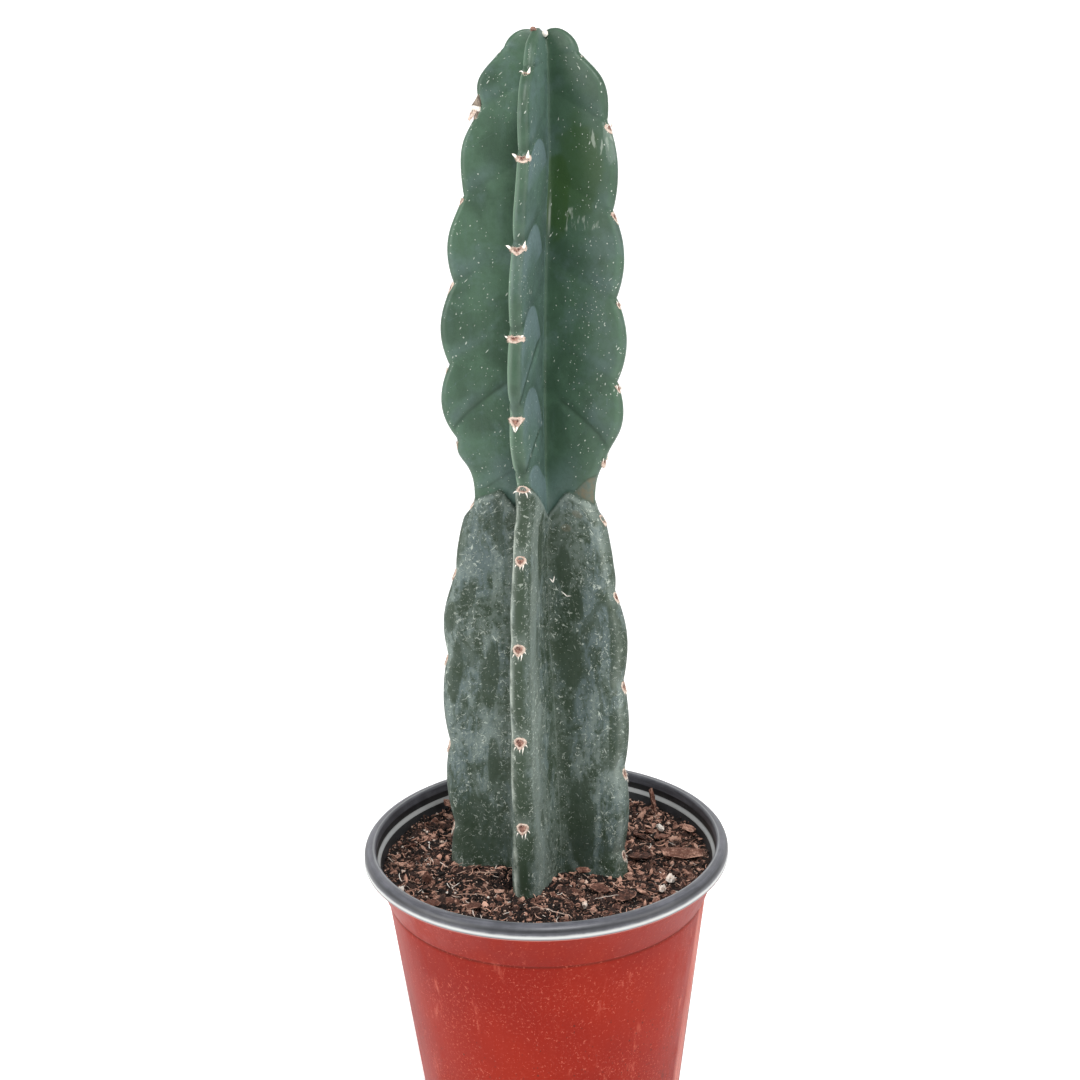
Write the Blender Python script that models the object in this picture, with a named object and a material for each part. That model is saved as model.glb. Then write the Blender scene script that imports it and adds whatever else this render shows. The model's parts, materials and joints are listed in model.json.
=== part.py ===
"""A potted columnar cactus: a five-ribbed stem standing in potting mix in a six-inch nursery pot.

Metres, +Z up. The origin is on the surface that the pot stands on, under the middle of the pot.
-Y faces the viewer. Three separate pieces are made: the pot, the potting mix and the stem.
"""

import math
import random

import bmesh
import bpy
import numpy as np
from mathutils import Matrix, Vector

MM = 0.001

# Fit between neighbouring pieces
GAP = 0.3 * MM

# Pot
POT_HEIGHT = 140 * MM
POT_SIDES = 48
RIM_RADIUS = 76 * MM
LIP_HANG = 6.8 * MM
LIP_ARCH = 2.6 * MM
EDGE_ROUND = 0.6 * MM
LIP_THICKNESS = 1.3 * MM
WALL = 1.3 * MM
MOUTH_RADIUS = 71.6 * MM
LEDGE_DROP = 9.5 * MM
LEDGE_WIDTH = 1.2 * MM
COLLAR_TOP_RADIUS = 72.6 * MM
COLLAR_DROP = 22 * MM
WALL_TOP_RADIUS = 66.8 * MM
WALL_TAPER = 0.1233
FOOT_INNER_RADIUS = 43 * MM
FOOT_SLOPE = 2 * MM
FOOT_ROUND = 1.2 * MM
FLOOR_RISE = 2.5 * MM
DRAIN_HOLES = 6
DRAIN_HOLE_RADIUS = 5 * MM
DRAIN_CIRCLE_RADIUS = 32 * MM

# Potting mix
SOIL_DROP = 11.5 * MM
SOIL_SIDES = 40
SOIL_ROUGHNESS = 0.5 * MM
SOIL_SEED = 7
SOIL_RINGS = [x * MM for x in (62, 55, 48, 41, 33, 22)]
CHIP_COUNT = 46
CHIP_LENGTH = (4.5 * MM, 9.5 * MM)
CHIP_THICKNESS = (1.2 * MM, 2.2 * MM)
CHIP_LIFT = (-0.4 * MM, 0.1 * MM)
CHIP_WIDTH_SHARE = (0.4, 0.7)
CHIP_TILT = (-16, 16)
CHIP_CORNERS = 5
CHIP_BEVEL = 0.85
CHIP_UNEVENNESS = (0.8, 1.1)
CHIP_SPACING = 0.4 * MM
BIG_CHIP_THICKNESS = 1.8 * MM
STEM_CLEARANCE = 3.0 * MM
WALL_CLEARANCE = 3.0 * MM
# The big pieces of bark: where they lie, their length, width, turn about Z, tilt from level and lift
BIG_CHIPS = (
    ((54 * MM, 1 * MM), 18 * MM, 8 * MM, -4, 6, 0.2 * MM),
    ((45 * MM, 37 * MM), 4.5 * MM, 13 * MM, 8, 80, 2.5 * MM),
)

# Stem, with heights measured up from the pot's rim
RIBS = 5
FRONT_RIB_TURN = -13.0
CENTRE_Y = 5.0 * MM
# Height above the rim, and how far to +X the centre line stands there: the stem leans a little
CENTRE_X = [(0, -0.6), (60, -0.3), (120, 0.4), (180, 1.7), (235, 3.8), (255, 5), (275, 6.2), (321, 6.8)]
FOOT_DROP = 64 * MM
STRAIGHT_BELOW = -7 * MM
STEM_TOP = 321.5 * MM
# Where the young growth begins, and where its rings and those of the old growth fall between two areoles
GROWTH_JOINT = 147 * MM
OLD_RING_STEPS = (0, 0.2, 0.4, 0.6, 0.8)
YOUNG_RING_STEPS = (0, 0.1, 0.3, 0.5, 0.7, 0.9)
# Areoles up the front rib. The other ribs follow the same rhythm, lower by fifths of a step, and by a
# little more in the young growth.
YOUNG_DRIFT = 0.1
FRONT_AREOLES = [x * MM for x in (-18, 18.7, 55.3, 93, 127, 153.4, 181, 211.8, 243.4, 275.1, 303.9, 318.5)]
NOTCH_RISE = 2.5 * MM
TIP_RADIUS = 5.0 * MM
TIP_DIP = 2.4 * MM
# Height above the rim, and the crest's distance from the centre line at the notches
CREST = [(-64, 37.5), (-11, 37.3), (41, 38), (77, 37.7), (112, 33.8), (130, 31.5), (138, 29.5), (147, 25.3)]
CREST += [(165, 30.7), (197, 34.3), (228, 32.8), (259, 29.8), (285, 27.2), (311, 15.8), (317, 11.5), (321, 6)]
# How far each lobe swells past the line between its notches
SWELL = [(-11, 2.2), (60, 2.2), (95, 2.8), (122, 0.6), (147, 0), (175, 3.6), (213, 3.9), (245, 3.9)]
SWELL += [(270, 2.6), (300, 3), (311, 2), (321, 0.3)]
# Where two neighbouring ribs' flanks would meet, from the centre line
VALLEY = [(-64, 14), (-11, 16), (22, 14.5), (54, 12.5), (72, 10.5), (104, 7.5), (139, 7.2), (169, 5), (315, 4)]
GROOVE_ROUND = [(-64, 8), (22, 8), (90, 6.5), (139, 5), (169, 4), (315, 2.5)]
CREST_ROUND = [(-64, 5.8), (-11, 5.6), (20, 4.6), (60, 4.1), (100, 3.9), (140, 3.5), (160, 2.9), (300, 2.7)]
FLANK_BULGE = [(130, 0.1), (165, 0.7), (270, 0.7), (300, 0.3)]
# The height in the groove that belongs to a height on the crest: creases climb inwards
GROOVE_HEIGHT = [(-64, -64), (110, 110), (150, 150), (185, 196), (250, 263), (292.4, 302), (321, 314), (321.5, 315)]
SLIMMEST_ROUND = 0.32
DEEPEST_VALLEY = 0.5

# Areoles, their spines and the wool in the tip
TIP_WOOL_WIDTH = 5.5 * MM
AREOLE_WIDTH = 5.4 * MM
AREOLE_HEIGHT = 4.6 * MM
AREOLE_DEPTH = 3.0 * MM
AREOLE_SINK = 0.6 * MM
SPINE_LENGTH = 2.8 * MM
SPINE_RADIUS = 0.55 * MM
SPINE_TIP_RADIUS = 0.12 * MM
SPINE_SPACING = 2.4 * MM
# How far a spine leans sideways and up for each part that it points outwards, on young and on old growth
YOUNG_SPINE_AIM = (1.7, 0.4)
OLD_SPINE_AIM = (0.75, -1.25)


def along(table, height):
    """Reads a (height, value) table, both in millimetres, at a height in metres above the rim."""
    heights, values = zip(*table)
    return float(np.interp(height / MM, heights, values)) * MM


def clear_scene():
    for old in list(bpy.data.objects):
        bpy.data.objects.remove(old)


def material(name, colour, roughness, metallic=0.0):
    made = bpy.data.materials.new(name)
    made.use_nodes = True
    shader = made.node_tree.nodes["Principled BSDF"]
    shader.inputs["Base Color"].default_value = (*colour, 1.0)
    shader.inputs["Roughness"].default_value = roughness
    shader.inputs["Metallic"].default_value = metallic
    return made


def add_object(name, points, faces, finish=None, collection=None):
    mesh = bpy.data.meshes.new(name)
    mesh.from_pydata([tuple(p) for p in points], [], faces)
    if finish:
        mesh.materials.append(finish)
    made = bpy.data.objects.new(name, mesh)
    (collection or bpy.context.scene.collection).objects.link(made)
    return made


def tidy_faces(thing):
    """Turns every face outwards and splits the many-sided ones into triangles."""
    work = bmesh.new()
    work.from_mesh(thing.data)
    bmesh.ops.triangulate(work, faces=work.faces[:])
    bmesh.ops.recalc_face_normals(work, faces=work.faces[:])
    work.to_mesh(thing.data)
    work.free()


def turned(name, profile, sides, finish=None):
    """Turns a closed profile of (radius, height) pairs, which starts and ends on the axis, about Z."""
    points, rows = [], []
    for radius, height in profile:
        if radius == 0:
            rows.append([len(points)] * sides)
            points.append((0, 0, height))
            continue
        rows.append(list(range(len(points), len(points) + sides)))
        for side in range(sides):
            angle = math.tau * side / sides
            points.append((radius * math.cos(angle), radius * math.sin(angle), height))
    faces = []
    for lower, upper in zip(rows, rows[1:]):
        for side in range(sides):
            after = (side + 1) % sides
            corners = [lower[side], lower[after], upper[after], upper[side]]
            face = [c for place, c in enumerate(corners) if c not in corners[:place]]
            if len(face) > 2:
                faces.append(face)
    made = add_object(name, points, faces, finish)
    tidy_faces(made)
    return made


def apply_modifiers(thing):
    """Keeps the mesh that the modifiers make and takes the modifiers off."""
    bpy.context.view_layer.update()
    seen = thing.evaluated_get(bpy.context.evaluated_depsgraph_get())
    result = bpy.data.meshes.new_from_object(seen)
    thing.modifiers.clear()
    thing.data = result


def boolean(thing, operation, collection):
    """Joins or cuts a thing with everything in a collection, which is then removed."""
    change = thing.modifiers.new(operation.title(), "BOOLEAN")
    change.operation = operation
    change.operand_type = "COLLECTION"
    change.collection = collection
    change.solver = "EXACT"
    apply_modifiers(thing)
    for tool in list(collection.objects):
        bpy.data.objects.remove(tool)
    bpy.data.collections.remove(collection)


def new_collection(name):
    made = bpy.data.collections.new(name)
    bpy.context.scene.collection.children.link(made)
    return made


def shade_round(thing, sharp_degrees):
    thing.data.shade_smooth()
    thing.data.set_sharp_from_angle(angle=math.radians(sharp_degrees))


# Pot

def wall_radius(height):
    """The outside of the pot's wall below its collar, at a height above the surface it stands on."""
    return WALL_TOP_RADIUS - WALL_TAPER * (POT_HEIGHT - COLLAR_DROP - height)


def inner_wall(height):
    """The inside of the pot at a height: a tapered wall, and above it the sloping collar."""
    collar_bottom = POT_HEIGHT - COLLAR_DROP
    ledge = POT_HEIGHT - LEDGE_DROP
    if height <= collar_bottom:
        return wall_radius(height) - WALL
    share = (height - collar_bottom) / (ledge - collar_bottom)
    low = WALL_TOP_RADIUS - WALL
    return low + share * (MOUTH_RADIUS - LEDGE_WIDTH - low)


def pot_profile():
    """Runs up the outside from under the middle of the floor, over the lip, and down the inside."""
    rim = POT_HEIGHT
    foot_outer = wall_radius(0) - FOOT_ROUND
    floor = FLOOR_RISE + WALL
    skirt_inner = RIM_RADIUS - LIP_THICKNESS
    outside = [
        (0, FLOOR_RISE),
        (FOOT_INNER_RADIUS - FOOT_SLOPE, FLOOR_RISE),
        (FOOT_INNER_RADIUS, 0),
        (foot_outer, 0),
        (wall_radius(FOOT_ROUND), FOOT_ROUND),
        (wall_radius(rim - COLLAR_DROP), rim - COLLAR_DROP),
        (WALL_TOP_RADIUS + EDGE_ROUND, rim - COLLAR_DROP + EDGE_ROUND),
        (COLLAR_TOP_RADIUS, rim - LIP_HANG - EDGE_ROUND),
        (COLLAR_TOP_RADIUS, rim - LIP_ARCH),
        (skirt_inner, rim - LIP_ARCH - EDGE_ROUND),
        (skirt_inner, rim - LIP_HANG + EDGE_ROUND),
        (RIM_RADIUS - EDGE_ROUND, rim - LIP_HANG),
        (RIM_RADIUS, rim - LIP_HANG + 2 * EDGE_ROUND),
    ]
    arch_middle = (MOUTH_RADIUS + RIM_RADIUS) / 2
    arch_reach = (RIM_RADIUS - MOUTH_RADIUS) / 2
    lip = []
    for degrees in (0, 40, 75, 110, 145, 180):
        angle = math.radians(degrees)
        radius = arch_middle + arch_reach * math.cos(angle)
        lip.append((radius, rim - LIP_ARCH + LIP_ARCH * math.sin(angle)))
    ledge_radius = MOUTH_RADIUS - LEDGE_WIDTH
    inside = [
        (MOUTH_RADIUS - EDGE_ROUND / 2, rim - LEDGE_DROP + EDGE_ROUND),
        (ledge_radius, rim - LEDGE_DROP),
        (inner_wall(rim - COLLAR_DROP), rim - COLLAR_DROP),
        (inner_wall(WALL), WALL),
        (FOOT_INNER_RADIUS + WALL, WALL),
        (FOOT_INNER_RADIUS + WALL - FOOT_SLOPE, floor),
        (0, floor),
    ]
    return outside + lip + inside


def make_pot():
    finish = material("pot_plastic", (0.42, 0.075, 0.045), 0.45)
    pot = turned("pot", pot_profile(), POT_SIDES, finish)
    drills = new_collection("pot_drain_drills")
    for hole in range(DRAIN_HOLES):
        angle = math.tau * (hole + 0.5) / DRAIN_HOLES
        depth = FLOOR_RISE + 3 * WALL
        drill = turned("drill", [(0, 0), (DRAIN_HOLE_RADIUS, 0), (DRAIN_HOLE_RADIUS, depth), (0, depth)], 12)
        bpy.context.scene.collection.objects.unlink(drill)
        drills.objects.link(drill)
        drill.location = (DRAIN_CIRCLE_RADIUS * math.cos(angle), DRAIN_CIRCLE_RADIUS * math.sin(angle), 0)
    boolean(pot, "DIFFERENCE", drills)
    shade_round(pot, 35)
    return pot


# Stem

def centre_line(height):
    """Where the middle of the stem is at a height above the rim."""
    return along(CENTRE_X, height), CENTRE_Y


def areole_height(count):
    """Height above the rim of the front rib's areole with this number, which may fall between two."""
    return float(np.interp(count, range(len(FRONT_AREOLES)), FRONT_AREOLES))


def is_young(count):
    return areole_height(count) > GROWTH_JOINT


def rib_shift(rib, young):
    """Areoles stand in a two-fifths spiral: each rib's are lower than the front rib's by this share."""
    drift = YOUNG_DRIFT if young and rib else 0
    return (3 * rib % RIBS) / RIBS + drift


def crest_radius(height, phase):
    """Distance of a rib's crest from the centre line, where phase runs from 0 at one notch to 1 at the next."""
    return along(CREST, height) + along(SWELL, height) * math.sin(math.pi * phase)


def rib_half(crest, valley, width, rounding, bulge):
    """Half a rib's section from the middle of the groove to the crest, as (outwards, sideways) pairs."""
    half = math.pi / RIBS
    width = min(width, SLIMMEST_ROUND * crest)
    valley = min(valley, DEEPEST_VALLEY * crest)
    bisector = Vector((math.cos(half), math.sin(half)))
    meet = valley * bisector
    middle = Vector((crest - width, 0))
    back = meet - middle
    turn = math.atan2(back.y, back.x) - math.acos(width / back.length)
    touch = middle + width * Vector((math.cos(turn), math.sin(turn)))
    flank = touch - meet
    rounding = min(rounding, 0.6 * flank.length)
    flank.normalize()
    groove = meet + bisector * (0.5 * rounding * flank.dot(bisector))
    fillet_end = meet + flank * rounding
    outwards = Vector((-flank.y, flank.x))
    belly = (fillet_end + touch) / 2 + outwards * bulge
    shoulder = middle + width * Vector((math.cos(turn / 2), math.sin(turn / 2)))
    return [groove, fillet_end, belly, touch, shoulder, middle + Vector((width, 0))]


def stem_ring(crest_height, groove_height, crests, phases):
    """One ring of points round the stem, five ribs in turn, each from its left groove over its crest."""
    valley = along(VALLEY, groove_height)
    width = along(CREST_ROUND, crest_height)
    rounding = along(GROOVE_ROUND, groove_height)
    ring = []
    for rib in range(RIBS):
        bulge = along(FLANK_BULGE, crest_height) * math.sin(math.pi * phases[rib])
        half = rib_half(crests[rib], valley, width, rounding, bulge)
        left = [Vector((p.x, -p.y)) for p in half]
        right = [p.copy() for p in reversed(half)][1:-1]
        turn = math.radians(FRONT_RIB_TURN + 360 / RIBS * rib)
        outwards = Vector((math.sin(turn), -math.cos(turn)))
        sideways = Vector((math.cos(turn), math.sin(turn)))
        inner = half[0].length
        for point in left + right:
            share = min(max((point.length - inner) / (crests[rib] - inner), 0), 1)
            height = groove_height + (crest_height - groove_height) * share
            x, y = centre_line(height)
            place = outwards * point.x + sideways * point.y
            ring.append((x + place.x, y + place.y, POT_HEIGHT + height))
    return ring


def phases_at(count):
    return [(count + rib_shift(rib, is_young(count))) % 1 for rib in range(RIBS)]


def straight_count():
    """The areole number at the height where the ribs become straight."""
    return float(np.interp(STRAIGHT_BELOW - NOTCH_RISE, FRONT_AREOLES, range(len(FRONT_AREOLES))))


def foot_ring(height):
    """The stem's foot has one section all the way down, taken where the ribs become straight."""
    phases = phases_at(straight_count())
    crests = [crest_radius(STRAIGHT_BELOW, phase) for phase in phases]
    return stem_ring(height, height, crests, phases)


def ring_counts():
    """Where the rings fall, in the front rib's areole numbers, from the lowest ring that isn't the foot's."""
    counts = []
    for number in range(len(FRONT_AREOLES) - 1):
        counts += [number + step for step in OLD_RING_STEPS if not is_young(number + step)]
        counts += [number + step for step in YOUNG_RING_STEPS if is_young(number + step)]
    return [count for count in counts if count > straight_count()] + [len(FRONT_AREOLES) - 1]


def stem_rings():
    """All rings from the foot's cut end to the rim of the dip in the tip."""
    rings = [foot_ring(-FOOT_DROP), foot_ring(STRAIGHT_BELOW)]
    for count in ring_counts():
        phases = phases_at(count)
        height = areole_height(count) + NOTCH_RISE
        crests = [crest_radius(height, phase) for phase in phases]
        rings.append(stem_ring(height, along(GROOVE_HEIGHT, height), crests, phases))
    rings.append(stem_ring(STEM_TOP, along(GROOVE_HEIGHT, STEM_TOP), [TIP_RADIUS] * RIBS, phases))
    return rings


def loft(name, rings, bottom, top, finish):
    """Skins closed rings of equal counts and closes both ends with a fan to a middle point."""
    size = len(rings[0])
    points = [p for ring in rings for p in ring]
    faces = []
    for row in range(len(rings) - 1):
        for side in range(size):
            after = (side + 1) % size
            low, high = row * size, (row + 1) * size
            faces.append((low + side, low + after, high + after, high + side))
    points += [bottom, top]
    last = (len(rings) - 1) * size
    for side in range(size):
        after = (side + 1) % size
        faces.append((after, side, len(points) - 2))
        faces.append((last + side, last + after, len(points) - 1))
    made = add_object(name, points, faces, finish)
    tidy_faces(made)
    return made


def crest_place(rib, count):
    """Where an areole sits on a rib's crest, and the rib's outward and sideways directions there."""
    height = areole_height(count)
    step = 2 * MM
    near = [crest_radius(height + way, 0) for way in (-step, step)]
    radius = crest_radius(height, 0)
    turn = math.radians(FRONT_RIB_TURN + 360 / RIBS * rib)
    flat = Vector((math.sin(turn), -math.cos(turn), 0))
    x, y = centre_line(height)
    place = Vector((x, y, POT_HEIGHT + height)) + flat * radius
    outwards = Vector((flat.x, flat.y, -(near[1] - near[0]) / (2 * step))).normalized()
    sideways = Vector((math.cos(turn), math.sin(turn), 0))
    return place, outwards, sideways


def felt_pad(collection, place, outwards, sideways, width, height, depth):
    """A felt cushion: a six-sided lens sunk in the skin."""
    upwards = outwards.cross(sideways)
    if upwards.z < 0:
        upwards = -upwards
    work = bmesh.new()
    bmesh.ops.create_uvsphere(work, u_segments=6, v_segments=3, radius=0.5)
    frame = Matrix((sideways * width, upwards * height, outwards * depth)).transposed()
    mesh = bpy.data.meshes.new("felt")
    work.to_mesh(mesh)
    work.free()
    mesh.transform(Matrix.Translation(place - outwards * AREOLE_SINK) @ frame.to_4x4())
    pad = bpy.data.objects.new("felt", mesh)
    collection.objects.link(pad)
    tidy_faces(pad)


def spine(collection, root, direction):
    """A stubby three-sided needle whose root is sunk in its areole."""
    length = SPINE_LENGTH
    work = bmesh.new()
    bmesh.ops.create_cone(
        work, cap_ends=True, segments=3, radius1=SPINE_RADIUS, radius2=SPINE_TIP_RADIUS, depth=length)
    mesh = bpy.data.meshes.new("spine")
    work.to_mesh(mesh)
    work.free()
    stand = direction.to_track_quat("Z", "Y").to_matrix().to_4x4()
    mesh.transform(Matrix.Translation(root + direction * length / 2) @ stand)
    needle = bpy.data.objects.new("spine", mesh)
    collection.objects.link(needle)
    tidy_faces(needle)


def add_areoles(collection):
    """Young areoles hold two side horns that point up and out, old ones hold two that point down."""
    lowest = STRAIGHT_BELOW + AREOLE_HEIGHT / 2
    for rib in range(RIBS):
        for number in range(len(FRONT_AREOLES)):
            young = is_young(number - rib_shift(rib, False))
            count = number - rib_shift(rib, young)
            if areole_height(count) < lowest:
                continue
            place, outwards, sideways = crest_place(rib, count)
            felt_pad(collection, place, outwards, sideways, AREOLE_WIDTH, AREOLE_HEIGHT, AREOLE_DEPTH)
            spread, lift = YOUNG_SPINE_AIM if young else OLD_SPINE_AIM
            for way in (-1, 1):
                aim = outwards + sideways * way * spread + Vector((0, 0, lift))
                root = place + sideways * way * SPINE_SPACING / 2 - outwards * AREOLE_SINK
                spine(collection, root, aim.normalized())


def make_stem():
    finish = material("cactus_skin", (0.10, 0.19, 0.12), 0.5)
    rings = stem_rings()
    x, y = centre_line(-FOOT_DROP)
    foot = (x, y, POT_HEIGHT - FOOT_DROP)
    x, y = centre_line(STEM_TOP)
    tip = (x, y, POT_HEIGHT + STEM_TOP - TIP_DIP)
    stem = loft("stem", rings, foot, tip, finish)
    repeats = new_collection("stem_areoles")
    add_areoles(repeats)
    up, across = Vector((0, 0, 1)), Vector((1, 0, 0))
    felt_pad(repeats, Vector(tip), up, across, TIP_WOOL_WIDTH, TIP_WOOL_WIDTH, TIP_WOOL_WIDTH)
    boolean(stem, "UNION", repeats)
    shade_round(stem, 40)
    return stem


# Potting mix

def widened(ring, distance):
    """Moves a flat outline outwards by a distance."""
    points = [Vector((p[0], p[1])) for p in ring]
    moved = []
    for place, point in enumerate(points):
        before = points[place - 1]
        after = points[(place + 1) % len(points)]
        normals = []
        for start, end in ((before, point), (point, after)):
            edge = (end - start).normalized()
            normals.append(Vector((edge.y, -edge.x)))
        middle = (normals[0] + normals[1]).normalized()
        moved.append(point + middle * distance / max(middle.dot(normals[0]), 0.5))
    return moved


def outline_distance(outline, point):
    """Distance of a point outside a closed outline, or a negative number inside it."""
    nearest = math.inf
    inside = False
    for place, end in enumerate(outline):
        start = outline[place - 1]
        edge = end - start
        share = min(max((point - start).dot(edge) / edge.length_squared, 0), 1)
        nearest = min(nearest, (point - start - edge * share).length)
        if (start.y > point.y) != (end.y > point.y):
            if point.x < start.x + (point.y - start.y) / (end.y - start.y) * (end.x - start.x):
                inside = not inside
    return -nearest if inside else nearest


def soil_profile():
    """The bed from the pot's floor to its surface, a fit inside the pot's wall."""
    top = POT_HEIGHT - SOIL_DROP
    collar = POT_HEIGHT - COLLAR_DROP
    floor = FLOOR_RISE + WALL + GAP
    low = WALL + GAP
    foot = FOOT_INNER_RADIUS + WALL
    side = [
        (0, floor),
        (foot - FOOT_SLOPE + GAP, floor),
        (foot + GAP, low),
        (inner_wall(low) - GAP, low),
        (inner_wall(collar) - GAP, collar),
        (inner_wall(top) - GAP, top),
    ]
    return side + [(radius, top) for radius in SOIL_RINGS] + [(0, top)]


def roughen(soil, rng):
    """Lifts and drops the points of the surface inside its edge by a seeded amount."""
    top = POT_HEIGHT - SOIL_DROP
    edge = inner_wall(top) - 2 * GAP
    for vertex in soil.data.vertices:
        if vertex.co.z > top - GAP and vertex.co.xy.length < edge:
            vertex.co.z += rng.uniform(-SOIL_ROUGHNESS, SOIL_ROUGHNESS)


def bark_chip(collection, rng, place, length, width, thickness, turn, tilt):
    """A flat, irregular piece of bark with bevelled corners, half sunk in the mix."""
    points = []
    for level, shrink in ((-0.5, CHIP_BEVEL), (0.5, 1.0)):
        for corner in range(CHIP_CORNERS):
            angle = math.tau * corner / CHIP_CORNERS
            points.append(Vector((length / 2 * math.cos(angle) * shrink,
                                  width / 2 * math.sin(angle) * shrink,
                                  level * thickness)))
    for corner in range(CHIP_CORNERS):
        stretch = rng.uniform(*CHIP_UNEVENNESS)
        for point in (points[corner], points[corner + CHIP_CORNERS]):
            point.x *= stretch
            point.y *= stretch
    count = CHIP_CORNERS
    faces = [tuple(reversed(range(count))), tuple(range(count, 2 * count))]
    faces += [(i, (i + 1) % count, (i + 1) % count + count, i + count) for i in range(count)]
    chip = add_object("bark_chip", points, faces, collection=collection)
    chip.data.transform(
        Matrix.Translation(place)
        @ Matrix.Rotation(math.radians(turn), 4, "Z")
        @ Matrix.Rotation(math.radians(tilt), 4, "X"))
    tidy_faces(chip)


def scatter_bark(collection, rng, stem_outline):
    """Lays bark over the surface, clear of the stem and of the pot's wall."""
    top = POT_HEIGHT - SOIL_DROP
    reach = inner_wall(top) - WALL_CLEARANCE
    taken = []
    for (x, y), length, width, turn, tilt, lift in BIG_CHIPS:
        bark_chip(collection, rng, Vector((x, y, top + lift)), length, width, BIG_CHIP_THICKNESS, turn, tilt)
        taken.append((Vector((x, y)), length / 2))
    while len(taken) < CHIP_COUNT + len(BIG_CHIPS):
        length = rng.uniform(*CHIP_LENGTH)
        radius = reach * math.sqrt(rng.random())
        angle = rng.uniform(0, math.tau)
        spot = Vector((radius * math.cos(angle), radius * math.sin(angle)))
        if radius + length / 2 > reach:
            continue
        if outline_distance(stem_outline, spot) < STEM_CLEARANCE + length / 2:
            continue
        if any((spot - other).length < length / 2 + size + CHIP_SPACING for other, size in taken):
            continue
        taken.append((spot, length / 2))
        lift = rng.uniform(*CHIP_LIFT)
        thickness = rng.uniform(*CHIP_THICKNESS)
        width = length * rng.uniform(*CHIP_WIDTH_SHARE)
        turn = rng.uniform(0, 360)
        tilt = rng.uniform(*CHIP_TILT)
        place = Vector((spot.x, spot.y, top + lift))
        bark_chip(collection, rng, place, length, width, thickness, turn, tilt)


def make_potting_mix():
    finish = material("potting_mix", (0.085, 0.05, 0.038), 0.95)
    rng = random.Random(SOIL_SEED)
    soil = turned("potting_mix", soil_profile(), SOIL_SIDES, finish)
    roughen(soil, rng)
    outline = widened(foot_ring(STRAIGHT_BELOW), GAP)
    bark = new_collection("bark")
    scatter_bark(bark, rng, outline)
    boolean(soil, "UNION", bark)
    cutters = new_collection("stem_hole")
    bottom = POT_HEIGHT - FOOT_DROP - GAP
    rings = [[(p.x, p.y, z) for p in outline] for z in (bottom, POT_HEIGHT)]
    x, y = centre_line(0)
    hole = loft("stem_hole", rings, (x, y, bottom), (x, y, POT_HEIGHT), None)
    bpy.context.scene.collection.objects.unlink(hole)
    cutters.objects.link(hole)
    boolean(soil, "DIFFERENCE", cutters)
    shade_round(soil, 30)
    return soil


def main():
    clear_scene()
    make_pot()
    make_potting_mix()
    make_stem()


main()
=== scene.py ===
"""The look of a potted columnar cactus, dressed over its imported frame.

Metres, +Z up, -Y towards the viewer. Heights of the stem are measured up from the pot's rim.
"""

import json
import math
import random

import bmesh
import bpy
from mathutils import Matrix, Vector

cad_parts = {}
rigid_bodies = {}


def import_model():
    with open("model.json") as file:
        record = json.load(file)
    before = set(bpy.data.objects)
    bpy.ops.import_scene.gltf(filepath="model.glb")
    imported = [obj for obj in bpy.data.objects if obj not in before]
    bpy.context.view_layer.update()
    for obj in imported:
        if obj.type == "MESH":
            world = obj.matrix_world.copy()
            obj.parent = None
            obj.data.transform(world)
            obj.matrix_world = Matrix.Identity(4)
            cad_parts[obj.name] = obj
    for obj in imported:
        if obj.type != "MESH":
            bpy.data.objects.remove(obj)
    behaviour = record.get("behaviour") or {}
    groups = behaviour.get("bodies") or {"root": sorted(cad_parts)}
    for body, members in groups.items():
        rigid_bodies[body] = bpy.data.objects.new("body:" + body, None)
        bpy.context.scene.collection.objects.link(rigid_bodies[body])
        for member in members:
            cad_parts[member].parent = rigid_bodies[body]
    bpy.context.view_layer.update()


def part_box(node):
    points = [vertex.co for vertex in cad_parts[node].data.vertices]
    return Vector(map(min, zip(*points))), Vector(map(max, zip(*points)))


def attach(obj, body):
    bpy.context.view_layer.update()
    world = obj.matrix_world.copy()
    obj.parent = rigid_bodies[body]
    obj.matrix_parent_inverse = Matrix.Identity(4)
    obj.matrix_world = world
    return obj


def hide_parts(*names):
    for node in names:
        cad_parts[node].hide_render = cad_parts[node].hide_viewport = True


bl_info = {
    "name": "Potted columnar cactus",
    "version": (1, 0, 0),
    "blender": (4, 5, 0),
    "location": "3D View > Sidebar > Cactus",
    "description": "Dresses the packed frame of a potted columnar cactus",
    "category": "Object",
}

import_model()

MM = 0.001
LIP_OVER_SOLID = 0.0001
POT_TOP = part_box("pot")[1].z + LIP_OVER_SOLID
STEM_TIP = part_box("stem")[1].z - POT_TOP
RIM_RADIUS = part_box("pot")[1].x
SOIL_TOP = POT_TOP - 11.5 * MM
CAMERA_PITCH = math.radians(15.45)
CAMERA_ROLL = math.radians(-1.6)
CAMERA_PLACE = (1.0 * MM, -573.0 * MM, POT_TOP + 286.5 * MM)
AIM_HEIGHT = 0.22
JUST_OVER_ZERO = 0.0001


# Stem's rule, with heights above the rim and values in millimetres

RIBS = 5
HALF_RIB = math.pi / RIBS
FRONT_RIB_TURN = math.radians(-13.0)
CENTRE_Y = 5.0 * MM
CENTRE_X = [(0, -0.6), (60, -0.3), (120, 0.4), (180, 1.7), (235, 3.8), (255, 5), (275, 6.2), (321, 6.8)]
FOOT_DROP = 64 * MM
STRAIGHT_BELOW = -9 * MM
DOME_START = 315 * MM
GROWTH_JOINT = 147 * MM
YOUNG_DRIFT = 0.1
NOTCH_RISE = 2.5 * MM
SPACING = 30 * MM
AREOLE_LIFT = 0.3 * MM
AREOLE_SINK = 0.15 * MM
FRONT_LEAN = [(-64, 0), (130, 0), (165, 0.5), (200, 1.0), (250, 1.3), (300, 1.3), (321, 1.2)]
HUSK_HEIGHT = 292 * MM
HUSK_REACH = 8 * MM
FIRST_CREASE = 158 * MM
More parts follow.
